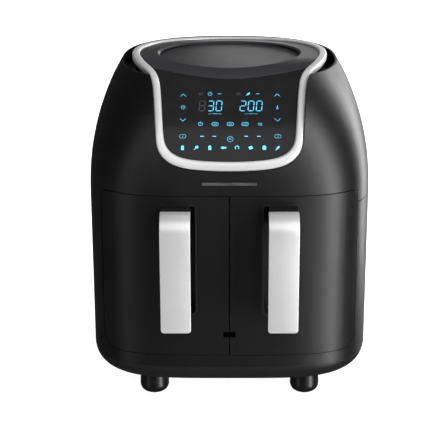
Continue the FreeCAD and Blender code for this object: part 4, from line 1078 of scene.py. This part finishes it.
class FRYER_OT_mouldings(bpy.types.Operator):
    """Round the sharp edges of the moulded pieces"""
    bl_idname = "fryer.mouldings"
    bl_label = "Moulded edges"

    def execute(self, context):
        edge = settings()[1].moulded_edge / MM
        for side in SIDES:
            softened(side + "_front_panel", edge)
            softened(side + "_finger_pocket", edge)
            softened(side + "_handle_core", edge)
        softened("lid_plate", 1.0)
        softened("lower_housing", 0.3)
        softened("upper_housing", 0.8)
        softened("base_tray", 0.6)
        keeper = softened("centre_keeper", 0.4)
        # Painted shade: the keeper is painted near black, darker than the housing and almost
        # without reflection, so that it reads as the shaded gap between the drawers.
        keeper.data.materials[0] = textured("keeper_painted_shade", hex_colour("#030303"), 0.8, 1.0,
                                            0.02, ior=1.1)
        return {"FINISHED"}


class FRYER_OT_sheets(bpy.types.Operator):
    """Roll rims round the holes of the element guards and round some of the crisper plates'"""
    bl_idname = "fryer.sheets"
    bl_label = "Perforated sheets"

    def execute(self, context):
        tree = rim_tree()
        wire = settings()[1].hole_rim
        for side in SIDES:
            for piece, facing in (("_crisper_plate", 1), ("_heater_guard", -1)):
                node = side + piece
                rims = round_rims(node, (0, 0, facing), HOLE_SPANS)
                repeated(node, rims, tree, {"Rim radius": HOLE_RADIUS * MM + wire,
                                            "Wire radius": wire})
        return {"FINISHED"}


class FRYER_OT_fixings(bpy.types.Operator):
    """Cut the recesses of the screws and set the slats of the rear grille"""
    bl_idname = "fryer.fixings"
    bl_label = "Screws and slats"

    def execute(self, context):
        sizes = settings()[1]
        tree = recess_tree()
        long, thin, deep = sizes.recess_length, sizes.recess_width, 2 * sizes.recess_depth
        for node, facing in (("base_screws", (0, 0, -1)), ("head_screws", (0, 0, 1)),
                             ("left_drawer_screws", (0, 1, 0)),
                             ("right_drawer_screws", (0, 1, 0))):
            heads = round_rims(node, facing, SCREW_HEAD_SPANS)
            sides = ((long, deep, thin), (thin, deep, long)) if facing[1] else \
                ((long, thin, deep), (thin, long, deep))
            repeated(node, heads, tree, {"Flat blade": sides[0], "Upright blade": sides[1]})
        slots = round_rims("rear_grille", (0, 1, 0), SLOT_SPANS)
        low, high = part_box("rear_grille")
        slat = (sizes.slat_width, sizes.slat_thickness, high.z - low.z - SLOT_MARGIN * MM)
        inwards = Vector((0, sizes.slat_width, 0)) / 2
        repeated("rear_grille", [spot - inwards for spot in slots], louvre_tree(),
                 {"Slat": slat, "Turn": (0, 0, SLAT_TURN)})
        return {"FINISHED"}


class FRYER_PT_panel(bpy.types.Panel):
    """Lists the fryer's builders"""
    bl_label = "Air fryer"
    bl_idname = "FRYER_PT_panel"
    bl_space_type = "VIEW_3D"
    bl_region_type = "UI"
    bl_category = "Air fryer"

    def draw(self, context):
        for operator in OPERATORS:
            self.layout.operator(operator.bl_idname)


OPERATORS = (FRYER_OT_stage, FRYER_OT_finishes, FRYER_OT_ring, FRYER_OT_strips,
             FRYER_OT_symbols, FRYER_OT_mouldings, FRYER_OT_sheets, FRYER_OT_fixings)
GROUPS = (("fryer_finish", FryerFinish), ("fryer_sizes", FryerSizes),
          ("fryer_studio", FryerStudio))


def register():
    for name, group in GROUPS:
        bpy.utils.register_class(group)
        setattr(bpy.types.Scene, name, PointerProperty(type=group))
    for kind in (*OPERATORS, FRYER_PT_panel):
        bpy.utils.register_class(kind)


def unregister():
    for kind in (FRYER_PT_panel, *reversed(OPERATORS)):
        bpy.utils.unregister_class(kind)
    for name, group in reversed(GROUPS):
        delattr(bpy.types.Scene, name)
        bpy.utils.unregister_class(group)


def main():
    """Build everything in order."""
    register()
    for operator in OPERATORS:
        family, name = operator.bl_idname.split(".")
        getattr(getattr(bpy.ops, family), name)()


if __name__ == "__main__":
    main()
